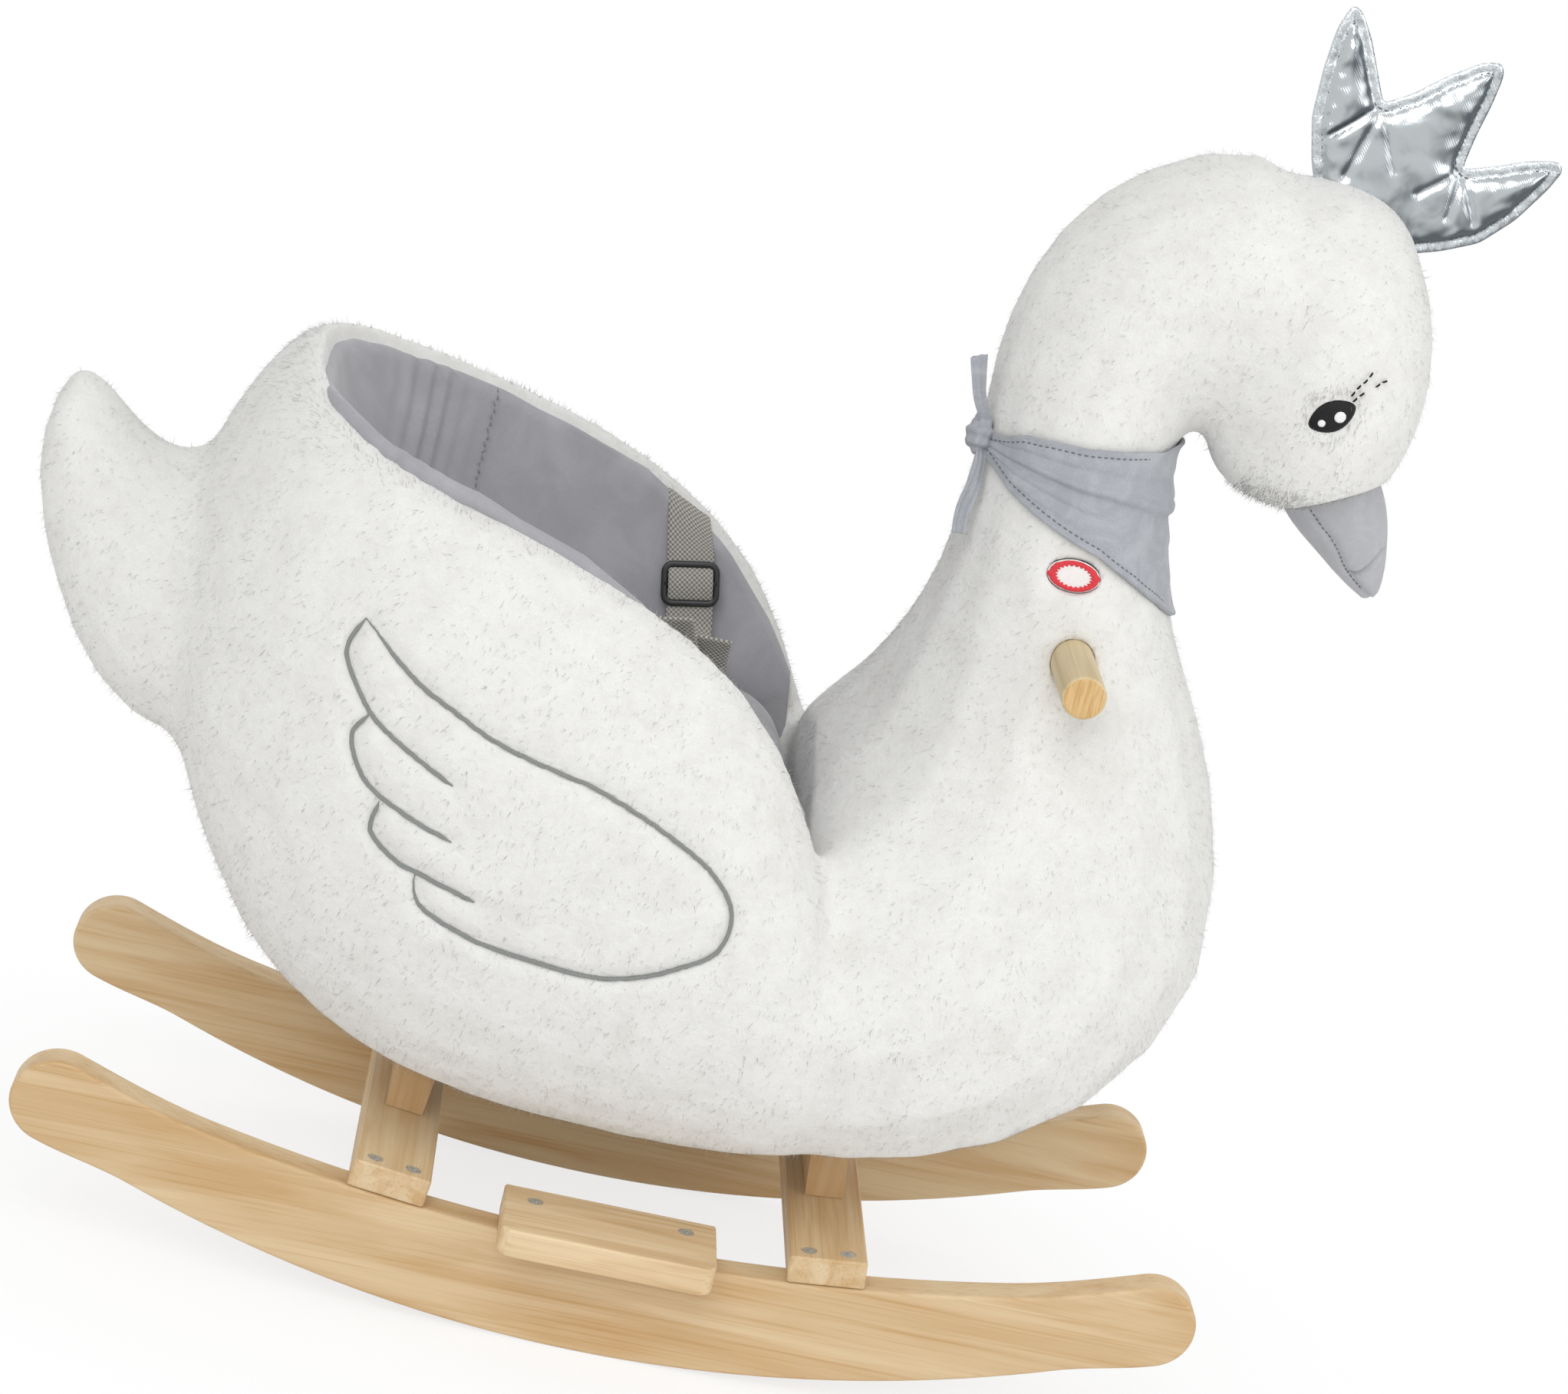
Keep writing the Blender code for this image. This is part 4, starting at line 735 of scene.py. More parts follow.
@dataclass
class Pile:
    """The cut pile that stands out of the plush, as flat tapered tufts with the skin's own shading."""

    length: float = 4.6 * MM
    width: float = 0.28 * MM
    density: float = 3.6e4
    comb: Point = (-0.45, 0.0, -1.0)
    lie: float = 0.8
    rim_top: float = 0.55
    rim_share: float = 2.5
    seed: int = 11

    def roots(self, skin: Piece, rng: np.random.Generator) -> tuple[np.ndarray, np.ndarray]:
        """Scatter points over a skin.

        Args:
            skin: The plush skin.
            rng: The scatter's own source of numbers.

        Returns:
            The points, and the skin's normal at each.
        """
        mesh = skin.data
        mesh.calc_loop_triangles()
        corners = np.empty(len(mesh.loop_triangles) * 3, int)
        mesh.loop_triangles.foreach_get("vertices", corners)
        corners = corners.reshape(-1, 3)
        points, normals = points_of(skin), points_of(skin, "normal")
        first, second, third = (points[corners[:, index]] for index in range(3))
        areas = np.linalg.norm(np.cross(second - first, third - first), axis=1) / 2
        areas *= 1 + self.rim_share * self.on_edge((first + second + third) / 3)
        count = int(areas.sum() * self.density)
        chosen = rng.choice(len(areas), count, p=areas / areas.sum())
        u, v = rng.random((2, count))
        over = u + v > 1
        u[over], v[over] = 1 - u[over], 1 - v[over]
        weights = np.column_stack((1 - u - v, u, v))[:, :, None]
        ups = (normals[corners[chosen]] * weights).sum(1)
        return (points[corners[chosen]] * weights).sum(1), ups / np.linalg.norm(ups, axis=1)[:, None]

    @staticmethod
    def on_edge(points: np.ndarray) -> np.ndarray:
        """Tell how near the points are to the hollow's rim or to the beak, where the pile stands over the edge."""
        x, out, z = points[:, 0] - TOY_X, np.abs(points[:, 1]), points[:, 2]
        reach = hollow_reach(x, out, z)**(1 / HOLLOW_POWER)
        rim = np.exp(-((reach - 1.04) / 0.06)**2) * (z > 0.26) * (x < 0.055)
        beak = np.exp(-((z - 0.5) / 0.01)**2) * (x > 0.215)
        eye = np.exp(-((np.hypot(x - EYE[0], z - EYE[1]) - 0.0125) / 0.003)**2) * (out > HEAD_OUT)
        return rim + 5 * beak + 4 * eye

    def tufts(self, name: str, roots: np.ndarray, ups: np.ndarray, rng: np.random.Generator) -> Piece:
        """Build one leaning, tapered tuft at each root.

        Args:
            name: The piece's name.
            roots: Where the tufts stand.
            ups: The skin's normals there.
            rng: The source of their unevenness.

        Returns:
            The tufts as one piece, each of them closed.
        """
        count = len(roots)
        comb = np.tile(np.array(self.comb), (count, 1))
        on_rim = np.clip((ups[:, 2] - self.rim_top) / 0.3, 0, 1)[:, None] * (np.abs(roots[:, 1:2]) > 0.06)
        comb = comb * (1 - on_rim) + np.column_stack((np.full(count, -0.2), -np.sign(roots[:, 1]) * 0.9,
                                                      np.full(count, 0.1))) * on_rim
        # Unseeded vector noise differs from run to run, and the tufts must lean alike in every run
        noise.seed_set(self.seed)
        clump = np.array([noise.noise_vector(Vector(root) / 0.013) for root in roots])
        comb += clump * 0.9
        comb /= np.linalg.norm(comb, axis=1)[:, None]
        flow = comb - ups * (ups * comb).sum(1)[:, None]
        stray = rng.normal(size=(count, 3)) * 0.22
        way = ups * (1 - self.lie * 0.8) + flow * self.lie + stray
        way -= ups * np.minimum((way * ups).sum(1) - 0.15, 0)[:, None]
        way /= np.linalg.norm(way, axis=1)[:, None]
        side = np.cross(way, ups)
        side /= np.maximum(np.linalg.norm(side, axis=1), 1e-6)[:, None]
        length = self.length * rng.uniform(0.6, 1.15, count)[:, None]
        width = self.width * rng.uniform(0.7, 1.3, count)[:, None]
        foot = roots - ups * 0.4 * MM
        points = np.stack((foot - side * width / 2, foot + side * width / 2, foot - ups * width * 0.5,
                           roots + way * length), axis=1).reshape(-1, 3)
        base = np.arange(count)[:, None] * 4
        faces = np.stack([base + np.array(face) for face in ((0, 1, 3), (1, 2, 3), (2, 0, 3), (1, 0, 2))],
                         axis=1).reshape(-1, 3)
        mesh = bpy.data.meshes.new(name)
        mesh.vertices.add(len(points))
        mesh.vertices.foreach_set("co", points.ravel())
        mesh.loops.add(faces.size)
        mesh.loops.foreach_set("vertex_index", faces.ravel())
        mesh.polygons.add(len(faces))
        mesh.polygons.foreach_set("loop_start", np.arange(len(faces)) * 3)
        mesh.update(calc_edges=True)
        piece = coat(shown(name, mesh), PILE)
        mesh.normals_split_custom_set_from_vertices(np.repeat(ups, 4, axis=0))
        # Real fibres this fine let the light through, so these must not darken the skin under them
        piece.visible_shadow = False
        return piece


@dataclass
class Timber:
    """The rockers, the crossbars and risers between them, the footrests and the dowel."""

    spacing: float = 0.2017
    thick: float = 0.018
    span: float = 0.0
    running: float = 0.694
    top: float = 1.03
    height: float = 0.058
    sweep_deg: float = 20.25
    tip_radius: float = 0.0228
    tip_z: float = 0.0785
    dowel_radius: float = 0.011
    dowel_length: float = 0.244

    def build(self) -> None:
        """Build the rockers and the dowel anew, and dress the boards."""
        low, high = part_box("rocker_left")
        self.span = high.x - low.x
        for side in Side:
            self.rocker(side)
        self.dowel()
        finishes = {"crossbar_front": BAR_PINE, "crossbar_rear": BAR_PINE, "riser_front": RISER_PINE,
                    "riser_rear": RISER_PINE, "footrest_left": STEP_PINE, "footrest_right": STEP_PINE}
        for name, finish in finishes.items():
            dress(name, finish)

    def outline(self) -> list[Flat]:
        """The outline of a rocker from the middle of its running edge round to its tip and back."""
        half = []
        for degrees in np.linspace(0, self.sweep_deg, 22):
            angle = math.radians(degrees)
            half.append((self.running * math.sin(angle), self.running * (1 - math.cos(angle))))
        end = math.radians(self.sweep_deg)
        tip_x = self.span / 2 - self.tip_radius
        paddle = [(tip_x + self.tip_radius * math.cos(math.radians(turn)),
                   self.tip_z + self.tip_radius * math.sin(math.radians(turn))) for turn in range(-70, 111, 6)]
        tilt = math.radians(20)
        shoulder_x = 0.206
        shoulder = (shoulder_x, self.height + self.top - math.sqrt(self.top**2 - shoulder_x**2))
        slope = math.asin(shoulder_x / self.top)
        half += eased(half[-1], (math.cos(end), math.sin(end)), paddle[0], (math.cos(tilt), math.sin(tilt)), 12)
        half += paddle
        half += eased(paddle[-1], (-math.cos(tilt), -math.sin(tilt)), shoulder,
                      (-math.cos(slope), -math.sin(slope)), 12)
        half += [(x, self.height + self.top - math.sqrt(self.top**2 - x**2)) for x in np.linspace(shoulder_x, 0, 18)]
        return half + [(-x, z) for x, z in half[-2:0:-1]]

    def rocker(self, side: Side) -> None:
        """Cut one rocker from its board and round its arrises."""
        outline = self.outline()
        middle = side.value * self.spacing / 2
        count = len(outline)
        points = [toy(x, middle + shift_y, z) for shift_y in (-self.thick / 2, self.thick / 2) for x, z in outline]
        faces = [tuple(range(count - 1, -1, -1)), tuple(range(count, 2 * count))]
        faces += [(index, (index + 1) % count, count + (index + 1) % count, count + index) for index in range(count)]
        piece = make_piece(f"rocker_board_{side.label}", points, faces, ROCKER_PINE)
        refine(piece, "BEVEL", width=2.2 * MM, segments=3, limit_method="ANGLE", angle_limit=math.radians(50),
               harden_normals=True)
        keep(piece, [f"rocker_{side.label}"])

    def dowel(self) -> None:
        """Turn the dowel, with eased ends that show their grain."""
        sides, ease = 48, 2.2 * MM
        half = self.dowel_length / 2
        rings = [(half - 0.1 * MM, 0.8)]
        rings += [(half - ease * (1 - math.cos(turn)), 1 - ease * (1 - math.sin(turn)) / self.dowel_radius)
                  for turn in np.linspace(0.25, math.pi / 2, 5)]
        profile = rings + [(share * half, 1.0) for share in np.linspace(0.9, -0.9, 12)]
        profile += [(-y, radius) for y, radius in reversed(rings)]
        points = [toy(DOWEL[0] + self.dowel_radius * radius * math.cos(turn), y,
                      DOWEL[1] + self.dowel_radius * radius * math.sin(turn))
                  for y, radius in profile for turn in np.linspace(0, 2 * math.pi, sides, endpoint=False)]
        piece = closed_mesh(make_piece("handle_dowel", points, tube_faces(len(profile), sides), DOWEL_PINE))
        piece.data.materials.append(DOWEL_END.material())
        for face in piece.data.polygons:
            if abs(face.normal.y) > 0.9:
                face.material_index = 1
                face.use_smooth = False
        keep(piece, ["handle_bar"])


def eased(start: Flat, start_way: Flat, end: Flat, end_way: Flat, steps: int) -> list[Flat]:
    """Points of a smooth stretch between two others, which it leaves and meets along given ways."""
    reach = math.dist(start, end)
    stretch = []
    for step in range(1, steps):
        t = step / steps
        weights = (2 * t**3 - 3 * t**2 + 1, t**3 - 2 * t**2 + t, -2 * t**3 + 3 * t**2, t**3 - t**2)
        stretch.append(tuple(weights[0] * start[axis] + weights[1] * reach * start_way[axis]
                             + weights[2] * end[axis] + weights[3] * reach * end_way[axis] for axis in (0, 1)))
    return stretch


def dress(name: str, finish: Finish) -> None:
    """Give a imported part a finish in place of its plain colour."""
    materials = bpy.data.objects[name].data.materials
    materials.clear()
    materials.append(finish.material())
    LOG.info("%s: dressed in %s", name, finish.name)


@dataclass
class InnerParts:
    """What the plush hides: boards, screws and the sound module."""

    boards: tuple[str, ...] = ("base_board", "seat_board", "back_board")
    posts: tuple[str, ...] = ("seat_bearer_front", "seat_bearer_rear", "neck_post")
    case: tuple[str, ...] = ("sound_case", "sound_cover", "press_button")

    def build(self) -> None:
        """Dress every inner part."""
        screws = tuple(node.name for node in bpy.data.objects if node.name.startswith("screw_"))
        for names, finish in ((self.boards, PLY), (self.posts, RISER_PINE), (self.case, CASE_ABS),
                              (("speaker", *screws), ZINC)):
            for name in names:
                dress(name, finish)


# Lines of the wing's embroidery on the flank, in x and z from the middle of the rockers
WING_OUTER = ((-0.183, 0.374), (-0.176, 0.369), (-0.166, 0.361), (-0.151, 0.351), (-0.135, 0.344), (-0.114, 0.335),
              (-0.086, 0.328), (-0.062, 0.323), (-0.031, 0.311), (-0.001, 0.294), (0.014, 0.275), (0.012, 0.254),
              (-0.005, 0.241), (-0.023, 0.232), (-0.044, 0.227), (-0.071, 0.228), (-0.095, 0.23),
              (-0.116, 0.236), (-0.13, 0.243), (-0.135, 0.253), (-0.135, 0.26))
WING_FEATHERS = (
    ((-0.183, 0.374), (-0.188, 0.362), (-0.187, 0.352), (-0.173, 0.333), (-0.159, 0.323), (-0.143, 0.315),
     (-0.127, 0.308)),
    ((-0.172, 0.331), (-0.178, 0.318), (-0.168, 0.299), (-0.148, 0.288), (-0.122, 0.28)),
    ((-0.159, 0.29), (-0.16, 0.274), (-0.145, 0.262), (-0.132, 0.259), (-0.105, 0.252)),
)
# Top of the lining's roll by x, from behind the seat to its open front
ROLL_TOP = ((-0.246, 0.471), (-0.222, 0.463), (-0.208, 0.455), (-0.186, 0.446), (-0.164, 0.441), (-0.139, 0.434),
            (-0.122, 0.428), (-0.09, 0.419), (-0.062, 0.409), (-0.044, 0.397), (-0.012, 0.376),
            (0.012, 0.353), (0.03, 0.329), (0.04, 0.304), (0.047, 0.28))
# The seat hollow: height, rear wall's x and half width
HOLLOW_LEVELS = ((0.18, -0.14, 0.088), (0.24, -0.157, 0.099), (0.3, -0.178, 0.11), (0.36, -0.2, 0.122),
                 (0.42, -0.221, 0.132), (0.48, -0.24, 0.138), (0.56, -0.254, 0.142))
HOLLOW_FRONT = 0.19
# The hollow's outline is a rounded oblong of this power
HOLLOW_POWER = 3.2
# Middles of the dowel, the press patch and the plush left bare round an eye
DOWEL = (0.157, 0.403)
PATCH = (0.148, 0.443)
EYE = (0.248, 0.551)
# The head's cheeks lie farther out than this
HEAD_OUT = 0.03
# Upper and lower edges of the scarf's band by x
SCARF_TOP = ((0.084, 0.496), (0.094, 0.499), (0.104, 0.503), (0.118, 0.505), (0.135, 0.506), (0.165, 0.508),
             (0.185, 0.5085), (0.203, 0.51))
SCARF_LOW = ((0.084, 0.485), (0.094, 0.4795), (0.104, 0.4735), (0.118, 0.4685), (0.135, 0.4625),
             (0.158, 0.455), (0.178, 0.444), (0.192, 0.434), (0.203, 0.4215), (0.212, 0.415))


def hollow_wall(turn: float, z: float) -> Flat:
    """A point of the seat hollow's wall.

    Args:
        turn: Place round the wall, 0 at the front, 4 at the back and 8 at the front again.
        z: Height.

    Returns:
        Its x and y.
    """
    rear, half_width = read(HOLLOW_LEVELS, z), read(HOLLOW_LEVELS, z, 2)
    square = 0.93
    scale = 1 / (2 / 3 + square / 3)
    cage = ((1, 0), (square, square), (0, 1), (-square, square), (-1, 0), (-square, -square), (0, -1),
            (square, -square))
    start, t = int(math.floor(turn)), turn - math.floor(turn)
    weights = ((1 - t)**3 / 6, (3 * t**3 - 6 * t**2 + 4) / 6, (-3 * t**3 + 3 * t**2 + 3 * t + 1) / 6, t**3 / 6)
    dx = sum(weight * cage[(start - 1 + index) % 8][0] for index, weight in enumerate(weights))
    dy = sum(weight * cage[(start - 1 + index) % 8][1] for index, weight in enumerate(weights))
    middle, half_length = (rear + HOLLOW_FRONT) / 2, (HOLLOW_FRONT - rear) / 2
    return middle + half_length * scale * dx, half_width * scale * dy


def hollow_reach(x: np.ndarray, out: np.ndarray, z: np.ndarray) -> np.ndarray:
    """How far points lie towards the hollow's rounded outline, 1 on it, from x, distance off the middle and z."""
    rear = read(HOLLOW_LEVELS, z)
    along = np.abs((x - (rear + HOLLOW_FRONT) / 2) / ((HOLLOW_FRONT - rear) / 2))
    return along**HOLLOW_POWER + (out / read(HOLLOW_LEVELS, z, 2))**HOLLOW_POWER


@dataclass
class Covers:
    """The white plush: one sewn cover over the body, tail, chest, neck and head, in a rear and a front part."""

    voxel: float = 3.3 * MM
    # The solids are swelled by this before they are joined, and the cover is drawn back again
    overlap: float = 2.3 * MM
    groove_depth: float = 2.8 * MM
    groove_reach: float = 4.5 * MM
    thread_width: float = 2.0 * MM
    seam_x: float = 0.05
    crease_passes: int = 110
    dowel_hole: float = 10.9 * MM
    # Wide enough for the patch to be pressed in without touching the plush
    patch_hole: Flat = (0.0139, 0.0087)
    rear_nodes: tuple[str, ...] = ("belly", "wing_left", "wing_right", "back_bolster", "tail")
    front_nodes: tuple[str, ...] = ("chest", "neck", "head")

    def build(self) -> Piece:
        """Build the cover, sew the wings and raise the pile.

        Returns:
            The uncut skin, hidden from the render, for pieces that lie on it.
        """
        whole = soft_copy("plush_skin", self.rear_nodes + self.front_nodes, PLUSH, self.voxel, 13, swell=self.overlap)
        shift(whole, np.full(len(whole.data.vertices), -0.8 * self.overlap))
        self.fill_creases(whole)
        self.draw_in(whole)
        self.raise_jaw(whole)
        self.ruffle(whole)
        self.quilt(whole)
        self.sew_wings(whole)
        pile = Pile()
        rng = np.random.default_rng(pile.seed)
        roots, ups = pile.roots(whole, rng)
        shown = self.shows_pile(roots)
        roots, ups = roots[shown], ups[shown]
        for name, front, nodes in (("rear_cover", False, self.rear_nodes), ("front_cover", True, self.front_nodes)):
            keep(self.part(whole, name, front), nodes)
            here = (roots[:, 0] - TOY_X > self.seam_x) == front
            keep(pile.tufts(name + "_pile", roots[here], ups[here], rng))
        return whole

    def fill_creases(self, whole: Piece) -> None:
        """Fill the hollow creases where one stuffed form runs into the next without a hard seam."""
        mesh = whole.data
        edges = np.empty(len(mesh.edges) * 2, int)
        mesh.edges.foreach_get("vertices", edges)
        first, second = edges.reshape(-1, 2).T
        count = len(mesh.vertices)
        degree = np.bincount(np.concatenate((first, second)), minlength=count)
        points = points_of(whole)
        x, z = points[:, 0] - TOY_X, points[:, 2]
        at_tail = 0.3 * np.clip((-0.215 - x) / 0.02, 0, 1)
        at_head = np.clip((z - 0.5) / 0.02, 0, 1) * (x > 0.15)
        at_seam = np.clip((0.25 - z) / 0.03, 0, 1) * np.clip(1.4 - np.abs(x - self.seam_x) / 0.05, 0, 1)
        at_flank = (np.abs(points[:, 1]) > 0.1) * np.clip((0.02 - x) / 0.02, 0, 1) * np.clip((0.4 - z) / 0.03, 0, 1)
        share = np.maximum.reduce((at_tail, at_head, at_seam, at_flank))
        for _ in range(self.crease_passes):
            ring = np.column_stack([np.bincount(first, points[second, axis], count)
                                    + np.bincount(second, points[first, axis], count) for axis in range(3)])
            pull = ring / degree[:, None] - points
            hollow = np.clip((pull * points_of(whole, "normal")).sum(1) / (0.05 * MM), 0, 1)
            points = points + pull * (hollow * share * 0.9)[:, None]
            move(whole, points)

    def draw_in(self, whole: Piece) -> None:
        """Draw the plush up to the dowel and to the press patch."""
        points = points_of(whole)
        flat = points[:, [0, 2]] - (TOY_X, 0.0)
        for middle, hole, reach, here in (
                (DOWEL, (self.dowel_hole, self.dowel_hole), 1.6, np.abs(points[:, 1]) > 0.03),
                (PATCH, self.patch_hole, 1.7, points[:, 1] < -0.03)):
            away = (flat - middle) / hole
            radius = np.linalg.norm(away, axis=1)
            target = 1.0 + (reach - 1.0) * np.clip((radius - 1.16) / (reach - 1.16), 0, 1)
            moves = here & (radius < reach) & (radius > 0.3)
            scale = np.where(moves, target / np.maximum(radius, 1e-6), 1.0)
            flat = np.where(moves[:, None], middle + (flat - middle) * scale[:, None], flat)
        points[:, 0] = flat[:, 0] + TOY_X
        points[:, 2] = flat[:, 1]
        move(whole, points)

    @staticmethod
    def jaw_line(x: np.ndarray, y: np.ndarray) -> np.ndarray:
        """Height of the plush's edge over the beak."""
        return 0.4885 + 0.53 * (x - 0.249) + 0.22 * np.abs(y)

    def raise_jaw(self, whole: Piece) -> None:
        """Set the head's plush back where the beak comes out of it."""
        points = points_of(whole)
        x = points[:, 0] - TOY_X
        low = self.jaw_line(x, points[:, 1]) - points[:, 2]
        beside = np.clip((x - 0.237) / 0.02, 0, 1) * (points[:, 2] > 0.44)
        points[:, 2] += np.maximum(low, 0) * 0.8 * beside
        move(whole, points)

    def ruffle(self, skin: Piece) -> None:
        """Let the stuffing and the clumped pile show as low swells."""
        points = points_of(skin)
        swell = np.array([noise.noise(Vector(point) / 0.055) * 1.1 + noise.noise(Vector(point) / 0.014) * 0.4
                          for point in points])
        shift(skin, swell * MM)

    def quilt(self, body: Piece) -> None:
        """Draw the flanks in along the wing's lines."""
        points = points_of(body)
        flat = points[:, [0, 2]] - (TOY_X, 0.0)
        depth = np.zeros(len(points))
        for path in (WING_OUTER, *WING_FEATHERS):
            near = line_distance(flat, path)
            depth = np.maximum(depth, np.exp(-(near / self.groove_reach)**2))
        outside = np.abs(points[:, 1]) > 0.125
        shift(body, -self.groove_depth * depth * outside)

    def sew_wings(self, body: Piece) -> None:
        """Lay the embroidery thread in the grooves of both flanks."""
        tree = surface(body)
        for side in Side:
            for number, path in enumerate((WING_OUTER, *WING_FEATHERS)):
                keep(strand(f"wing_stitching_{side.label}_{number + 1}", *laid(tree, side, path, 2.0 * MM, 0.5 * MM),
                            self.thread_width, 1.6 * MM, GREY_THREAD, taper=0.06))

    def part(self, whole: Piece, name: str, front: bool) -> Piece:
        """Cut the rear or the front part out of the whole cover, closed at the seam."""
        work = bmesh.new()
        work.from_mesh(whole.data)
        cut = bmesh.ops.bisect_plane(work, geom=work.verts[:] + work.edges[:] + work.faces[:], dist=1e-6,
                                     plane_co=toy(self.seam_x, 0, 0), plane_no=(1, 0, 0),
                                     clear_inner=front, clear_outer=not front)
        rim = [part for part in cut["geom_cut"] if isinstance(part, bmesh.types.BMEdge)]
        bmesh.ops.triangle_fill(work, edges=rim, use_beauty=True, use_dissolve=False)
        for edge in rim:
            if edge.is_valid:
                edge.smooth = False
        bmesh.ops.recalc_face_normals(work, faces=work.faces)
        mesh = bpy.data.meshes.new(name)
        work.to_mesh(mesh)
        work.free()
        return coat(shown(name, mesh), PLUSH)

    def shows_pile(self, roots: np.ndarray) -> np.ndarray:
        """Tell which tufts stand clear of the stitching, the hollow, the patch, the dowel, the eyes and the scarf."""
        flat = roots[:, [0, 2]] - (TOY_X, 0.0)
        x, z, out = flat[:, 0], flat[:, 1], np.abs(roots[:, 1])
        near = np.full(len(roots), np.inf)
        for path in (WING_OUTER[:8], WING_OUTER[9:14], *WING_FEATHERS):
            near = np.minimum(near, line_distance(flat, path))
        hidden = (near < 2.0 * MM) & (out > 0.12)
        hidden |= (hollow_reach(x, out, z) < 0.99) & (x < 0.048) & (z > 0.255)
        on_patch = (((flat - PATCH) / self.patch_hole)**2).sum(1) < 1.1
        hidden |= on_patch & (roots[:, 1] < 0)
        hidden |= ((flat - DOWEL)**2).sum(1) < self.dowel_hole**2
        tilt = math.radians(38)
        along = (flat - EYE) @ (math.cos(tilt), math.sin(tilt))
        across = (flat - EYE) @ (-math.sin(tilt), math.cos(tilt))
        hidden |= ((along / 0.0112)**2 + (across / 0.0072)**2 < 1) & (out > HEAD_OUT)
        hidden |= ((x > 0.08) & (x < 0.22) & (z > read(SCARF_LOW, x) + 1.5 * MM) & (z < read(SCARF_TOP, x) - 2 * MM))
        hidden |= (x > 0.262) & (z > 0.44) & (z < self.jaw_line(x, roots[:, 1]) - 6 * MM)
        return ~hidden


@dataclass
class Seat:
    """The velour lining of the hollow, puffed along its rim, and the seat pad."""

    wall_inset: float = 5.3 * MM
    roll_reach: float = 9.5 * MM
    roll_height: float = 6.5 * MM
    floor: float = 0.268
    ceiling: float = 0.43
    seam_x: float = -0.15
    seam_lean: float = 0.004
    pad_cap: float = 3.0 * MM

    def build(self) -> None:
        """Build the lining and the pad."""
        self.lining()
        self.seam()
        self.pad()
        cloth = soft_copy("seat_cloth", ("seat_board",), VELOUR, 3.0 * MM, 3, swell=1.8 * MM)
        keep(cloth)

    def rim(self, x: float, y: float) -> float:
        """Height of the lining's top edge: proud of the plush at the back right, sunk behind it at the front."""
        top = float(read(ROLL_TOP, x))
        right = np.interp(x, (-0.23, -0.205, -0.09, -0.055, 0.0, 0.03), (-9.0, 2.0, 2.0, -9.0, -14.0, -22.0))
        left = np.interp(x, (-0.23, -0.19, -0.02, 0.02, 0.04), (-9.0, -9.0, -10.0, -20.0, -28.0))
        share = float(np.interp(y, (-0.07, 0.0), (1.0, 0.0)))
        uneven = noise.noise(Vector((x, y, 0)) / 0.03) * (0.7 + 1.1 * share)
        return top + (left + (right - left) * share + uneven) * MM

    def lining(self) -> None:
        """Hang the lining from its puffed rim down to the pad."""
        path = [turn for turn in np.arange(0.8, 7.2, 0.01) if hollow_wall(turn, 0.33)[0] < 0.04]
        arc = np.linspace(math.pi, -0.25 * math.pi, 15)
        rows = []
        for turn in path:
            top = self.rim(*hollow_wall(turn, 0.42))
            shoulder = top - self.roll_height
            row = [self.wall_point(turn, self.floor + share * (shoulder - self.floor), 0.0)
                   for share in np.linspace(0, 1, 44)]
            for angle in arc[1:]:
                out = self.roll_reach * (1 + math.cos(angle)) / 2
                row.append(self.wall_point(turn, shoulder + self.roll_height * math.sin(angle), out))
            rows.append(row)
        columns = len(rows[0])
        points = [point for row in rows for point in row]
        piece = make_piece("seat_lining", points, grid_faces(len(rows), columns), VELOUR)
        with edited(piece) as work:
            bmesh.ops.recalc_face_normals(work, faces=work.faces)
            middle = min(work.faces, key=lambda face: (face.calc_center_median() - toy(-0.05, 0.12, 0.33)).length)
            if middle.normal.y > 0:
                bmesh.ops.reverse_faces(work, faces=work.faces)
        refine(piece, "SOLIDIFY", thickness=2.4 * MM, offset=-1.0)
        keep(piece, ["lining_left", "lining_right", "lining_back"])

    def wall_point(self, turn: float, z: float, out: float) -> Vector:
        """A point of the lining.

        Args:
            turn: Place round the hollow.
            z: Height.
            out: How far it has rolled outward at the rim.

        Returns:
            The point, with the lining's gathers, folds and seam pressed in.
        """
        x, y = hollow_wall(turn, z)
        ahead, behind = hollow_wall(turn + 0.01, z), hollow_wall(turn - 0.01, z)
        way = Vector((ahead[0] - behind[0], ahead[1] - behind[1])).normalized()
        outward = Vector((way.y, -way.x))
        height = (z - self.floor) / (self.ceiling - self.floor)
        gather = math.exp(-((x + 0.18) / 0.018)**2)
        wander = noise.noise(Vector((x * 9, y * 9, z * 14)))
        relief = gather * math.sin(x * 2 * math.pi / 0.0095 + 1.6 * height + 3 * wander) * 1.9 * MM
        relief -= math.exp(-((x - self.seam_x - self.seam_lean * height) / 0.0018)**2) * 1.8 * MM
        relief += noise.noise(Vector((x, y, z)) / 0.06) * 3.2 * MM
        relief += noise.noise(Vector((x * 1.5, y, z * 0.8 + x)) / 0.024) * 1.2 * MM
        # Folds that fan out from the strap's foot towards the open front
        spread = math.atan2(z - 0.262, x + 0.03)
        reach = math.hypot(z - 0.262, x + 0.03)
        fan = math.exp(-((reach - 0.062) / 0.03)**2) * (x > -0.02)
        relief += fan * math.copysign(abs(math.sin(spread * 5.5 + 0.6))**0.6, math.sin(spread * 5.5 + 0.6)) * 2.0 * MM
        relief = min(relief, 2.6 * MM)
        offset = out - self.wall_inset + relief * (0.35 if out > 1 * MM else 1.0)
        return toy(x + outward.x * offset, y + outward.y * offset, z)

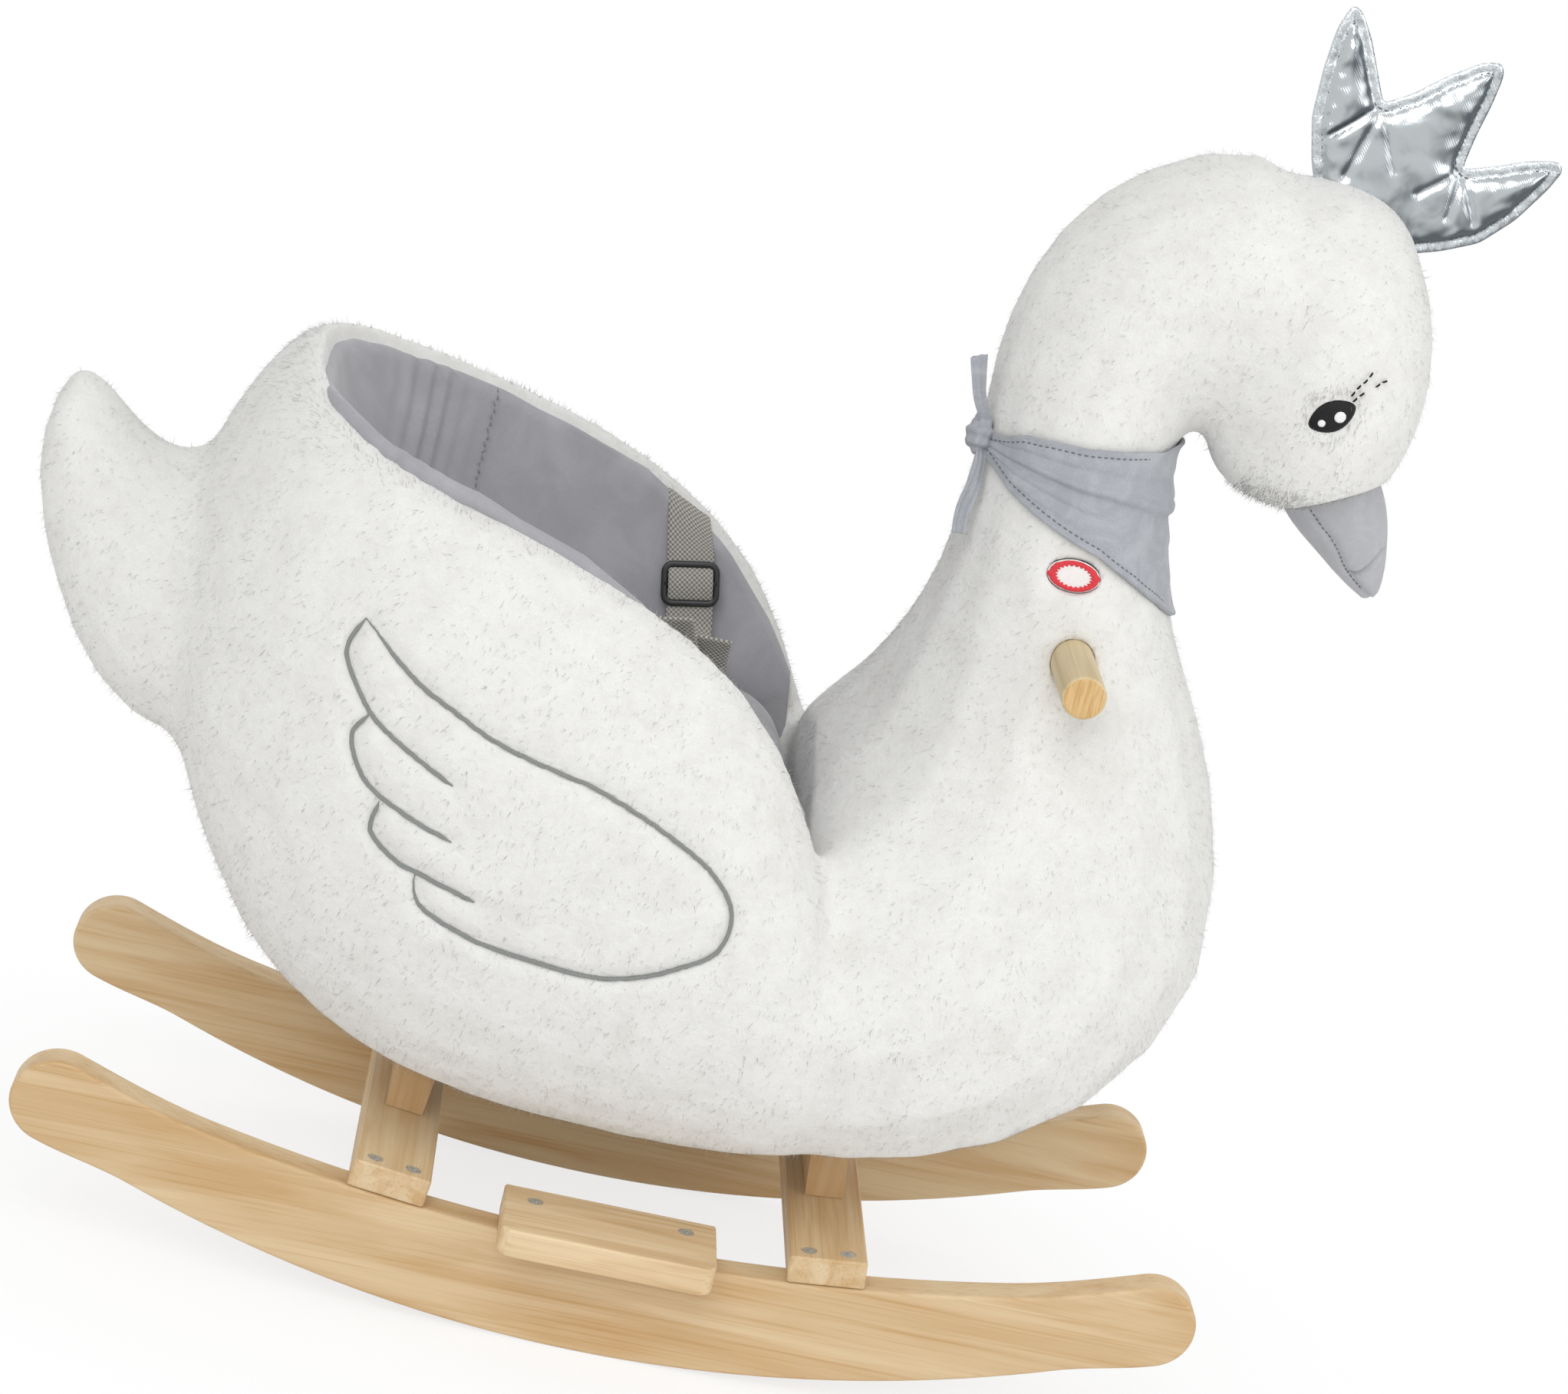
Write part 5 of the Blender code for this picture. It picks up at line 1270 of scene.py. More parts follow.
    def seam(self) -> None:
        """Stitch the lining's panels together along the end of the gathers."""
        for side in Side:
            spine, ups = [], []
            for z in np.arange(0.3, 0.43, 1.5 * MM):
                turns = np.linspace(1.0, 4.0, 200) if side is Side.LEFT else np.linspace(7.0, 4.0, 200)
                target = self.seam_x + self.seam_lean * (z - self.floor) / (self.ceiling - self.floor)
                turn = min(turns, key=lambda turn: abs(hollow_wall(turn, z)[0] - target))
                place = self.wall_point(turn, z, 0.0)
                inward = Vector((0.35, -side.value, 0)).normalized()
                spine.append(place + inward * 0.5 * MM)
                ups.append(inward)
            piece = stitches(f"lining_stitches_{side.label}", spine, ups, 3.0 * MM, 1.2 * MM, 0.6 * MM, LINING_THREAD)
            keep(piece)

    def pad(self) -> None:
        """Inflate the seat pad in its cover."""
        pad = soft_copy("seat_pad", ("seat_cushion",), VELOUR, 4.0 * MM, 6, swell=-1.0 * MM)
        inflate(pad, 4.0, self.pad_cap)
        refine(pad, "SUBSURF", levels=1, render_levels=1)
        points = points_of(pad)
        dents = np.array([noise.noise(Vector(point) / 0.035) for point in points])
        top = points[:, 2] > 0.3
        shift(pad, dents * top * 0.9 * MM)
        keep(pad, ["seat_cushion"])


def stitches(name: str, spine: Sequence[Vector], ups: Sequence[Vector], length: float, gap: float, width: float,
             finish: Finish) -> Piece:
    """Make a row of stitches along a seam.

    Args:
        name: The piece's name.
        spine: Points close together along the seam.
        ups: The cloth's normal at each.
        length: Length of a stitch.
        gap: Cloth between two stitches.
        width: Thickness of the thread.
        finish: The thread.

    Returns:
        All stitches as one piece, each of them closed.
    """
    spine = [Vector(point) for point in spine]
    run = np.concatenate(([0], np.cumsum([(b - a).length for a, b in zip(spine, spine[1:])])))
    places = np.array([tuple(point) for point in spine])
    normals = np.array([tuple(up) for up in ups])
    points, faces = [], []

    def along_run(rows: np.ndarray, at: float) -> Vector:
        """Read a row between the seam's points."""
        return Vector([np.interp(at, run, rows[:, axis]) for axis in range(3)])

    for start in np.arange(0, run[-1] - length, length + gap):
        rows = []
        for share in (0.0, 0.18, 0.5, 0.82, 1.0):
            at = start + share * length
            middle, ahead = along_run(places, at), along_run(places, at + 0.3 * MM)
            up = along_run(normals, at).normalized()
            along = ahead - middle if (ahead - middle).length > 1e-9 else Vector((1, 0, 0))
            across = along.normalized().cross(up).normalized()
            thin = 0.45 if share in (0.0, 1.0) else 1.0
            lift = -0.45 if share in (0.0, 1.0) else 0.15
            rows.append([middle + across * (math.cos(turn) * width * thin / 2)
                         + up * (math.sin(turn) * width * thin / 2 + lift * width)
                         for turn in np.linspace(0, 2 * math.pi, 6, endpoint=False)])
        first = len(points)
        points += [point for row in rows for point in row]
        faces += [tuple(first + index for index in face) for face in grid_faces(5, 6, closed=True)]
        faces += [tuple(first + index for index in range(5, -1, -1)), tuple(first + 24 + index for index in range(6))]
    return closed_mesh(make_piece(name, points, faces, finish))


def inflate(piece: Piece, pressure: float, cap: float) -> None:
    """Swell a closed piece by a short cloth simulation.

    Args:
        piece: The piece.
        pressure: Pressure of its filling.
        cap: How far a point may move.
    """
    start = points_of(piece)
    scene = bpy.context.scene
    cloth = piece.modifiers.new("filling", "CLOTH")
    cloth.settings.quality = 4
    cloth.settings.use_pressure = True
    cloth.settings.uniform_pressure_force = pressure
    cloth.settings.effector_weights.gravity = 0.0
    cloth.point_cache.frame_start = 1
    cloth.point_cache.frame_end = 20
    for frame in range(1, 21):
        scene.frame_set(frame)
    settle(piece)
    scene.frame_set(1)
    moved = points_of(piece) - start
    reach = np.linalg.norm(moved, axis=1)[:, None]
    moved *= np.minimum(1.0, cap / np.maximum(reach, 1e-9))
    move(piece, start + moved)


@dataclass
class Belt:
    """The seat belt: webbing, its slides, the buckle and two loose ends."""

    width: float = 25 * MM
    thick: float = 1.3 * MM
    slide_size: tuple[float, float, float] = (0.032, 0.0044, 0.025)
    slide_bar: float = 4.0 * MM
    rim_slope: float = 0.45
    top: Point = (-0.0281, 0.1145, 0.38)
    foot: Point = (-0.018, 0.1025, 0.328)
    slide_at: float = 0.375
    route: tuple[Point, ...] = (
        (-0.0318, 0.1345, 0.3835), (-0.0312, 0.1268, 0.386), (-0.0287, 0.118, 0.378),
        (-0.023, 0.1085, 0.3535), (-0.018, 0.1025, 0.328), (-0.0173, 0.0975, 0.3232), (-0.017, 0.089, 0.3216),
        (-0.017, 0.06, 0.3215), (-0.017, 0.029, 0.3215))
    ends: tuple[tuple[Point, ...], ...] = (
        ((-0.021, -0.0105, 0.3275), (-0.028, -0.018, 0.343), (-0.0345, -0.0275, 0.359),
         (-0.0385, -0.0335, 0.37)),
        ((-0.014, -0.0045, 0.3275), (-0.015, -0.009, 0.339), (-0.016, -0.015, 0.351),
         (-0.0165, -0.021, 0.3605)))

    def build(self) -> None:
        """Build every piece of the belt."""
        for side in Side:
            self.strap(side)
            self.slide(side)
        for name, path in zip(("belt_tail_rear", "belt_tail_front"), self.ends):
            spine = [toy(*point) for point in smooth_path(path, 2 * MM)]
            ups = [Vector((0, 0.75, 0.65))] * len(spine)
            piece = strand(name + "_webbing", spine, ups, self.width, self.thick, WEBBING)
            keep(piece, [name])
        for name in ("buckle_socket", "buckle_plug"):
            dress(name, ACETAL)

    def strap(self, side: Side) -> None:
        """Lay one strap from its seam at the rim down to the buckle."""
        last = 0.029 if side is Side.LEFT else -0.009
        route = [(x, side.value * y, z) for x, y, z in self.route[:-1]]
        route.append((self.route[-1][0], last, self.route[-1][2]))
        spine = [toy(*point) for point in smooth_path(route, 2.5 * MM)]
        ups = [Vector((1, 0, 0)).cross(along) * side.value for along in ways_of(spine)]
        piece = strand(f"strap_{side.label}", spine, ups, self.width, self.thick, WEBBING)
        # Its sewn end follows the slope of the rim
        points = points_of(piece)
        raised = np.clip((points[:, 2] - 0.366) / 0.018, 0, 1)
        points[:, 2] -= self.rim_slope * (points[:, 0] - TOY_X - self.route[0][0]) * raised
        move(piece, points)
        keep(piece, [f"belt_{side.label}"])

    def slide(self, side: Side) -> None:
        """Mould one three-bar slide and loop the webbing over its middle bar."""
        foot = Vector((self.foot[0], side.value * self.foot[1], self.foot[2]))
        top = Vector((self.top[0], side.value * self.top[1], self.top[2]))
        along = (top - foot).normalized()
        across = Vector((1, 0, 0))
        across = (across - along * across.dot(along)).normalized()
        face = Vector((0, -side.value, 0))
        face = (face - along * face.dot(along) - across * face.dot(across)).normalized()
        middle = toy(*foot.lerp(top, self.slide_at))
        width, thick, height = self.slide_size
        rail = self.slide_bar
        outline = rounded_loop(width - rail, height - rail, 4.5 * MM, 6)
        bar = [(-(width / 2 - rail / 2), 0.0), (width / 2 - rail / 2, 0.0)]
        piece = make_piece(f"slide_{side.label}", [], [], ACETAL)
        with edited(piece) as work:
            for line, closed in ((outline, True), (bar, False)):
                tube(work, line, closed, rail * 0.9, thick * 0.72, middle + face * 0.6 * MM, across, along, face)
        coat(piece, ACETAL)
        keep(piece, [f"slider_{side.label}"], f"slider_{side.label}_body")
        reach = height / 2 - rail
        hump = []
        for share in np.linspace(-1, 1, 19):
            lift = 0.9 * MM + 2.4 * MM * math.cos(share * math.pi / 2)**0.8
            hump.append(middle + along * (share * reach) + face * lift)
        ups = [face] * len(hump)
        loop = strand(f"slide_loop_{side.label}", hump, ups, self.width * 0.96, self.thick, WEBBING)
        keep(loop, body=f"slider_{side.label}_body")


def rounded_loop(width: float, height: float, radius: float, steps: int) -> list[Flat]:
    """Corners of a rectangle with rounded corners, round its middle."""
    loop = []
    for corner, (sx, sy) in enumerate(((1, 1), (-1, 1), (-1, -1), (1, -1))):
        for step in range(steps + 1):
            angle = math.pi / 2 * (corner + step / steps)
            loop.append((sx * (width / 2 - radius) + radius * math.cos(angle),
                         sy * (height / 2 - radius) + radius * math.sin(angle)))
    return loop


def tube(work: bmesh.types.BMesh, line: Sequence[Flat], closed: bool, width: float, thick: float, middle: Vector,
         across: Vector, along: Vector, face: Vector) -> None:
    """Add a rounded rail along a flat line.

    Args:
        work: The mesh it goes into.
        line: Its path, in the plane of across and along.
        closed: Whether the path runs round.
        width: Its width in that plane.
        thick: Its thickness.
        middle: Where the plane's origin lies.
        across: The plane's first way.
        along: The plane's second way.
        face: The way that the plane looks.
    """
    count, sides = len(line), 10
    rows = []
    for index, (u, v) in enumerate(line):
        before = line[index - 1] if closed or index else line[0]
        after = line[(index + 1) % count] if closed or index < count - 1 else line[-1]
        way = Vector((after[0] - before[0], after[1] - before[1])).normalized()
        normal = Vector((way.y, -way.x))
        row = []
        for angle in turns_of(sides):
            out = math.copysign(abs(math.cos(angle))**0.6, math.cos(angle)) * width / 2
            lift = math.copysign(abs(math.sin(angle))**0.6, math.sin(angle)) * thick / 2
            row.append(work.verts.new(middle + across * (u + normal.x * out) + along * (v + normal.y * out)
                                      + face * lift))
        rows.append(row)
    for index in range(count if closed else count - 1):
        here, there = rows[index], rows[(index + 1) % count]
        for turn in range(sides):
            after = (turn + 1) % sides
            work.faces.new((here[turn], here[after], there[after], there[turn]))
    if not closed:
        work.faces.new(rows[0][::-1])
        work.faces.new(rows[-1])
    bmesh.ops.recalc_face_normals(work, faces=work.faces)


CROWN_OUTLINE = (
    (0.226, 0.636), (0.216, 0.659), (0.21, 0.68), (0.209, 0.704), (0.21, 0.724), (0.2145, 0.737),
    (0.22, 0.734), (0.228, 0.722), (0.236, 0.706), (0.242, 0.694), (0.255, 0.702), (0.269, 0.714),
    (0.284, 0.7245), (0.293, 0.7265), (0.2955, 0.721), (0.294, 0.706), (0.291, 0.69), (0.289, 0.672),
    (0.304, 0.677), (0.321, 0.684), (0.335, 0.687), (0.338, 0.683), (0.333, 0.672), (0.322, 0.654),
    (0.308, 0.639), (0.291, 0.631), (0.27, 0.624), (0.245, 0.624),
)


@dataclass
class Crown:
    """The padded crown: two layers of lame sewn together inside a flat edge, and puffed between."""

    border: float = 5.0 * MM
    half_thick: float = 6.3 * MM
    edge: float = 0.8 * MM
    step: float = 1.5 * MM
    tucks: tuple[tuple[Flat, Flat, float], ...] = (
        ((0.242, 0.694), (0.217, 0.67), 0.9), ((0.242, 0.694), (0.233, 0.656), 0.45),
        ((0.242, 0.694), (0.256, 0.664), 0.35), ((0.289, 0.672), (0.27, 0.656), 0.5),
        ((0.289, 0.672), (0.302, 0.648), 0.7), ((0.289, 0.672), (0.288, 0.648), 0.5))

    def build(self) -> None:
        """Build the crown and its stitches."""
        outline = self.outline()
        closed = outline + [outline[0]]
        spots = self.spots(outline)
        inner = [Vector(point) for point in outline]
        count = len(inner)
        loop = [(index, (index + 1) % count) for index in range(count)]
        flat, _, faces, _, _, _ = delaunay_2d_cdt(inner + spots, loop, [list(range(count))], 1, 1e-7)
        plane = np.array([tuple(point) for point in flat])
        near = line_distance(plane, closed)
        heights = self.heights(plane, near)
        on_edge = near < 1e-5
        points, links = [], {}
        for face_sign in (-1, 1):
            for index, (x, z) in enumerate(plane):
                links[(face_sign, index)] = len(points)
                points.append(toy(x, face_sign * (self.edge if on_edge[index] else heights[index]), z))
        skin = []
        for face in faces:
            skin.append([links[(-1, index)] for index in face])
            skin.append([links[(1, index)] for index in reversed(face)])
        around = self.ordered(plane, [index for index in range(len(plane)) if on_edge[index]], outline)
        for here, there in zip(around, around[1:] + around[:1]):
            skin.append([links[(-1, here)], links[(1, here)], links[(1, there)], links[(-1, there)]])
        piece = closed_mesh(make_piece("crown_cover", points, skin, LAME))
        piece.data.materials.append(LAME_EDGE.material())
        middles = np.array([(face.center.x - TOY_X, face.center.z) for face in piece.data.polygons])
        on_border = line_distance(middles, closed) < self.border - 0.4 * MM
        piece.data.polygons.foreach_set("material_index", on_border.astype(int))
        keep(piece, ["crown"])
        self.sew(outline)

    def sew(self, outline: list[Flat]) -> None:
        """Run a row of stitches round each face, where the puffed middle meets the flat edge."""
        edge = np.array(outline)
        ahead, behind = np.roll(edge, -1, 0), np.roll(edge, 1, 0)
        way = ahead - behind
        way /= np.linalg.norm(way, axis=1)[:, None]
        area = float(np.sum(edge[:, 0] * ahead[:, 1] - ahead[:, 0] * edge[:, 1]))
        inward = np.column_stack((-way[:, 1], way[:, 0])) * math.copysign(1, area)
        line = edge + inward * self.border
        clear = line_distance(line, outline + [outline[0]]) > self.border - 0.35 * MM
        line = line[clear]
        for _ in range(3):
            line = (np.roll(line, 1, 0) + 2 * line + np.roll(line, -1, 0)) / 4
        line = np.vstack((line, line[0]))
        heights = self.heights(line, line_distance(line, outline + [outline[0]]))
        for side in Side:
            spine = [toy(x, side.value * (height + 0.15 * MM), z) for (x, z), height in zip(line, heights)]
            ups = [Vector((0, side.value, 0))] * len(spine)
            keep(stitches(f"crown_stitches_{side.label}", spine, ups, 2.4 * MM, 1.1 * MM, 0.7 * MM, SEAM_THREAD))

    def outline(self) -> list[Flat]:
        """The crown's edge, with points close together and the tips and notches kept."""
        closed = [*CROWN_OUTLINE, CROWN_OUTLINE[0]]
        dense = []
        for start, end in zip(closed, closed[1:]):
            steps = max(1, int(math.dist(start, end) / self.step))
            dense += [(start[0] + (end[0] - start[0]) * step / steps, start[1] + (end[1] - start[1]) * step / steps)
                      for step in range(steps)]
        eased_edge = np.array(dense)
        for _ in range(5):
            eased_edge = (np.roll(eased_edge, 1, 0) + 2 * eased_edge + np.roll(eased_edge, -1, 0)) / 4
        return [tuple(point) for point in eased_edge]

    def spots(self, outline: list[Flat]) -> list[Vector]:
        """Grid points inside the edge."""
        edge = np.array(outline)
        low, high = edge.min(0), edge.max(0)
        rows = []
        for number, z in enumerate(np.arange(low[1], high[1], self.step * 0.866)):
            for x in np.arange(low[0] + (number % 2) * self.step / 2, high[0], self.step):
                rows.append((x, z))
        spots = np.array(rows)
        inside = np.zeros(len(spots), bool)
        for (x1, z1), (x2, z2) in zip(edge, np.roll(edge, -1, 0)):
            crosses = (z1 > spots[:, 1]) != (z2 > spots[:, 1])
            where = x1 + (spots[:, 1] - z1) / (z2 - z1 if z2 != z1 else 1e-9) * (x2 - x1)
            inside ^= crosses & (spots[:, 0] < where)
        clear = line_distance(spots, outline + [outline[0]]) > self.step * 0.45
        return [Vector(point) for point in spots[inside & clear]]

    def heights(self, plane: np.ndarray, near: np.ndarray) -> np.ndarray:
        """How far each point stands off the middle plane, from its place and its distance to the edge."""
        inward = np.clip((near - self.border) / (12 * MM), 0, 1)
        puff = np.sqrt(1 - (1 - inward)**2)
        for start, end, depth in self.tucks:
            away = line_distance(plane, (start, end))
            puff *= 1 - depth * 0.62 * np.exp(-(away / (1.9 * MM))**2)
        pucker = np.array([noise.noise(Vector((x, z, 0)) / 0.005) for x, z in plane])
        folds = np.array([noise.noise(Vector((x * 0.45 + z, z - x * 0.4, 3)) / 0.013) for x, z in plane])
        band = np.exp(-((near - self.border - 2.5 * MM) / (3.5 * MM))**2)
        height = self.edge + (self.half_thick - self.edge) * puff
        height += puff * folds * 1.5 * MM + band * pucker * 1.1 * MM
        height += (near < self.border) * np.clip(near / (1.5 * MM), 0, 1) * (0.35 + pucker * 0.5) * MM
        stitch = np.exp(-((near - self.border) / (0.9 * MM))**2)
        return np.maximum(height - stitch * 0.5 * MM, 0.4 * MM)

    @staticmethod
    def ordered(plane: np.ndarray, rim: list[int], outline: list[Flat]) -> list[int]:
        """The edge's points in order round the outline."""
        edge = np.array(outline)
        place = {index: int(np.argmin(((edge - plane[index])**2).sum(1))) for index in rim}
        return sorted(rim, key=place.get)


# Middle low and high points of the beak's rings in x and z, and its half widths, from inside the head to the tip
BEAK_STATIONS = (
    ((0.236, 0.512), (0.278, 0.556), 0.027), ((0.244, 0.497), (0.286, 0.528), 0.028),
    ((0.257, 0.482), (0.302, 0.5), 0.0235), ((0.276, 0.468), (0.309, 0.478), 0.0175),
    ((0.293, 0.457), (0.3115, 0.461), 0.01), ((0.3035, 0.4512), (0.3098, 0.4522), 0.0042),
)


@dataclass
class Face:
    """The embroidered eyes with their lashes, and the velour beak."""

    eye: Flat = (0.248, 0.5505)
    eye_half: Flat = (0.012, 0.0078)
    tilt_deg: float = 38.0
    lights: tuple[tuple[Flat, float], ...] = (((0.2512, 0.5515), 0.0033), ((0.2437, 0.5465), 0.0021))
    lashes: tuple[tuple[Flat, ...], ...] = (
        ((0.2535, 0.5625), (0.2555, 0.567), (0.259, 0.572), (0.2618, 0.579)),
        ((0.255, 0.56), (0.258, 0.564), (0.262, 0.568)),
        ((0.264, 0.569), (0.2665, 0.5715), (0.27, 0.573)))
    beak_seam: tuple[Flat, ...] = ((0.244, 0.51), (0.252, 0.502), (0.256, 0.498), (0.267, 0.488),
                                   (0.278, 0.479), (0.289, 0.466), (0.301, 0.4565), (0.308, 0.452))
    mouth: tuple[Flat, ...] = ((0.2915, 0.464), (0.2955, 0.4655), (0.3, 0.47), (0.305, 0.479))

    def build(self, skin: Piece) -> None:
        """Build the eyes on the head's skin, and the beak."""
        tree = surface(skin)
        for side in Side:
            disc = self.disc(f"eye_{side.label}_stitching", tree, side, self.eye, self.eye_half, 1.7 * MM,
                             BLACK_THREAD, pointed=True)
            keep(disc, [f"eye_{side.label}"])
            for number, (middle, radius) in enumerate(self.lights):
                light = self.disc(f"eye_light_{side.label}_{number + 1}", tree, side, middle, (radius, radius),
                                  2.4 * MM, WHITE_THREAD)
                keep(light)
            for number, path in enumerate(self.lashes):
                keep(stitches(f"lash_{side.label}_{number + 1}", *laid(tree, side, path, 0.8 * MM, 1.6 * MM),
                              2.9 * MM, 1.3 * MM, 1.1 * MM, BLACK_THREAD))
        self.beak()

    def disc(self, name: str, tree: BVHTree, side: Side, middle: Flat, half: Flat, lift: float, finish: Finish,
             pointed: bool = False) -> Piece:
        """Lay a raised oval of satin stitch on the skin.

        Args:
            name: The piece's name.
            tree: The skin.
            side: Which side of the head.
            middle: Its middle in x and z.
            half: Half its length and height.
            lift: How far its middle stands off the skin.
            finish: Its thread.
            pointed: Whether its ends narrow like an almond.

        Returns:
            The piece.
        """
        tilt = math.radians(self.tilt_deg)
        rings, spokes = 8, 36
        top, low = [], []
        for ring in range(rings + 1):
            share = ring / rings
            for angle in turns_of(spokes):
                across = math.sin(angle) * (1 - 0.28 * math.cos(angle)**2 if pointed else 1)
                u, v = half[0] * share * math.cos(angle), half[1] * share * across
                x = middle[0] + u * math.cos(tilt) - v * math.sin(tilt)
                z = middle[1] + u * math.sin(tilt) + v * math.cos(tilt)
                place, normal = on_side(tree, side, x, z)
                top.append(place + normal * (0.3 * MM + lift * math.sqrt(max(0.0, 1 - share**4))))
                low.append(place - normal * 0.8 * MM)
        return closed_mesh(make_piece(name, top + low, plate_faces(rings + 1, spokes), finish))

    def beak(self) -> None:
        """Stuff the beak, draw in its seam and mouth, and stitch the seam."""
        table = [(*low, *high, half) for low, high, half in BEAK_STATIONS]
        rows = smooth_path(table, 0.9 * MM)
        around = 84
        points = []
        for low_x, low_z, high_x, high_z, half in rows:
            for angle in turns_of(around):
                share = (1 + math.cos(angle)) / 2
                points.append(toy(low_x + (high_x - low_x) * share, half * math.sin(angle),
                                  low_z + (high_z - low_z) * share))
        piece = closed_mesh(make_piece("beak_cover", points, tube_faces(len(rows), around), BEAK_VELOUR))
        refine(piece, "SMOOTH", factor=0.5, iterations=3)
        flat = points_of(piece)[:, [0, 2]] - (TOY_X, 0.0)
        seam = np.exp(-(line_distance(flat, self.beak_seam) / (1.2 * MM))**2)
        mouth = np.exp(-(line_distance(flat, self.mouth) / (1.5 * MM))**2)
        puff = np.exp(-((line_distance(flat, self.beak_seam) - 4 * MM) / (3 * MM))**2)
        shift(piece, (puff * 0.5 - seam * 1.1 - mouth * 2.6) * MM)
        keep(piece, ["beak"])
        tree = surface(piece)
        for side in Side:
            keep(stitches(f"beak_stitches_{side.label}", *laid(tree, side, self.beak_seam[1:-1], 0.8 * MM, 0.1 * MM),
                          2.0 * MM, 0.9 * MM, 0.6 * MM, SEAM_THREAD))


@dataclass
class Scarf:
    """The kerchief: a band folded round the neck, with its point at the front, a knot and two ends."""

    axis_x: float = 0.141
    radius: float = 0.062
    lift: float = 1.2 * MM
    thick: float = 1.8 * MM
    hem: float = 4.0 * MM
    turns: int = 220
    rises: int = 56

    def build(self, skin: Piece) -> None:
        """Wrap the scarf round the neck's skin."""
        tree = surface(skin)
        points = []
        for index in range(self.turns):
            angle = 2 * math.pi * index / self.turns
            points += [self.fold(tree, angle, row / self.rises) for row in range(self.rises + 1)]
        faces = grid_faces(self.turns, self.rises + 1)
        last = (self.turns - 1) * (self.rises + 1)
        faces += [(last + row, last + row + 1, row + 1, row) for row in range(self.rises)]
        piece = make_piece("scarf_band", points, [face[::-1] for face in faces], SCARF_VELOUR)
        refine(piece, "SOLIDIFY", thickness=self.thick, offset=0.0)
        keep(piece, ["scarf"])
        self.sew(tree)
        self.knot()
        self.ends()

    @staticmethod
    def edges(x: float) -> Flat:
        """Heights of the band's lower and upper edge."""
        return float(read(SCARF_LOW, x)), float(read(SCARF_TOP, x))

    def fold(self, tree: BVHTree, angle: float, share: float, extra: float = 0.0) -> Vector:
        """A point of the band.

        Args:
            tree: The skin.
            angle: Place round the neck, 0 at the front.
            share: Place across the band, 0 at its lower hem.
            extra: How far it stands off the band's own surface.

        Returns:
            The point, with the band's pleats that run out from the knot.
        """
        x = self.axis_x + self.radius * math.cos(angle)
        low, high = self.edges(x)
        wave = noise.noise(Vector((math.cos(angle) * 2.5, math.sin(angle) * 2.5, 0.7)))
        z = low + (high - low) * share + wave * 1.2 * MM * (share**2 + (1 - share)**2 * 0.5)
        way = Vector((math.cos(angle), math.sin(angle), 0))
        axis = toy(self.axis_x, 0, z)
        # The head hangs in front of the neck, so the outside is looked for from between the two
        for reach in (0.2 if z < 0.462 else 0.07, 0.064, 0.058, 0.052):
            place, normal, _, _ = tree.ray_cast(axis + way * reach, -way)
            if place and normal.dot(way) > 0:
                break
        else:
            place = axis + way * 0.05
        front = (1 + math.cos(angle)) / 2
        relief = self.pleats(angle, share, front)
        soft = noise.noise(Vector((math.cos(angle) * 1.5, math.sin(angle) * 1.5, share * 2.2))) * 0.9 * MM
        hem = (math.exp(-(share * (high - low) / (2 * MM))**2)
               + math.exp(-((1 - share) * (high - low) / (1.6 * MM))**2)) * 0.5 * MM
        return place + way * (self.lift + self.thick / 2 + relief + soft + hem + extra)

    @staticmethod
    def pleats(angle: float, share: float, front: float) -> float:
        """How far the pleats that fan out from the knot raise the cloth."""
        relief = 0.0
        # Place across the band at the knot and at the front, width, height and how far it runs on
        for at_knot, at_front, wide, high, fades in ((0.55, 0.62, 0.05, 3.4, 0.0), (0.78, 0.84, 0.045, 1.6, 0.7),
                                                     (0.34, 0.42, 0.04, 1.5, 0.8), (0.18, 0.2, 0.035, 1.0, 1.2)):
            middle = at_knot + (at_front - at_knot) * front
            off = (share - middle) / wide
            # The upper side of a pleat is gentle, and its lower side tucks under
            shape = math.exp(-(off / 2.6)**2) if off > 0 else math.exp(-(off * 1.5)**2)
            relief += shape * high * MM * math.exp(-fades * front) * min(1.0, 0.25 + 1.3 * front)
        crease = math.exp(-((share - 0.655 + 0.07 * (1 - front)) / 0.018)**2) * 1.1 * MM * front
        return relief - crease

    def sew(self, tree: BVHTree) -> None:
        """Stitch the upper and the lower hem."""
        for name, upper in (("upper", True), ("lower", False)):
            spine, ups = [], []
            for index in range(2 * self.turns + 1):
                angle = math.pi * index / self.turns
                low, high = self.edges(self.axis_x + self.radius * math.cos(angle))
                share = 1 - 0.8 * self.hem / (high - low) if upper else self.hem / (high - low)
                if not 0.05 < share < 0.95 or math.cos(angle) < -0.92:
                    continue
                spine.append(self.fold(tree, angle, share, self.thick / 2 + 0.1 * MM))
                ups.append(Vector((math.cos(angle), math.sin(angle), 0)))
            if spine:
                order = sorted(range(len(spine)), key=lambda place: math.atan2(spine[place].y, spine[place].x - 0.15))
                spine, ups = [spine[place] for place in order], [ups[place] for place in order]
                keep(stitches(f"scarf_{name}_stitches", spine, ups, 2.2 * MM, 1.1 * MM, 0.6 * MM, SEAM_THREAD))

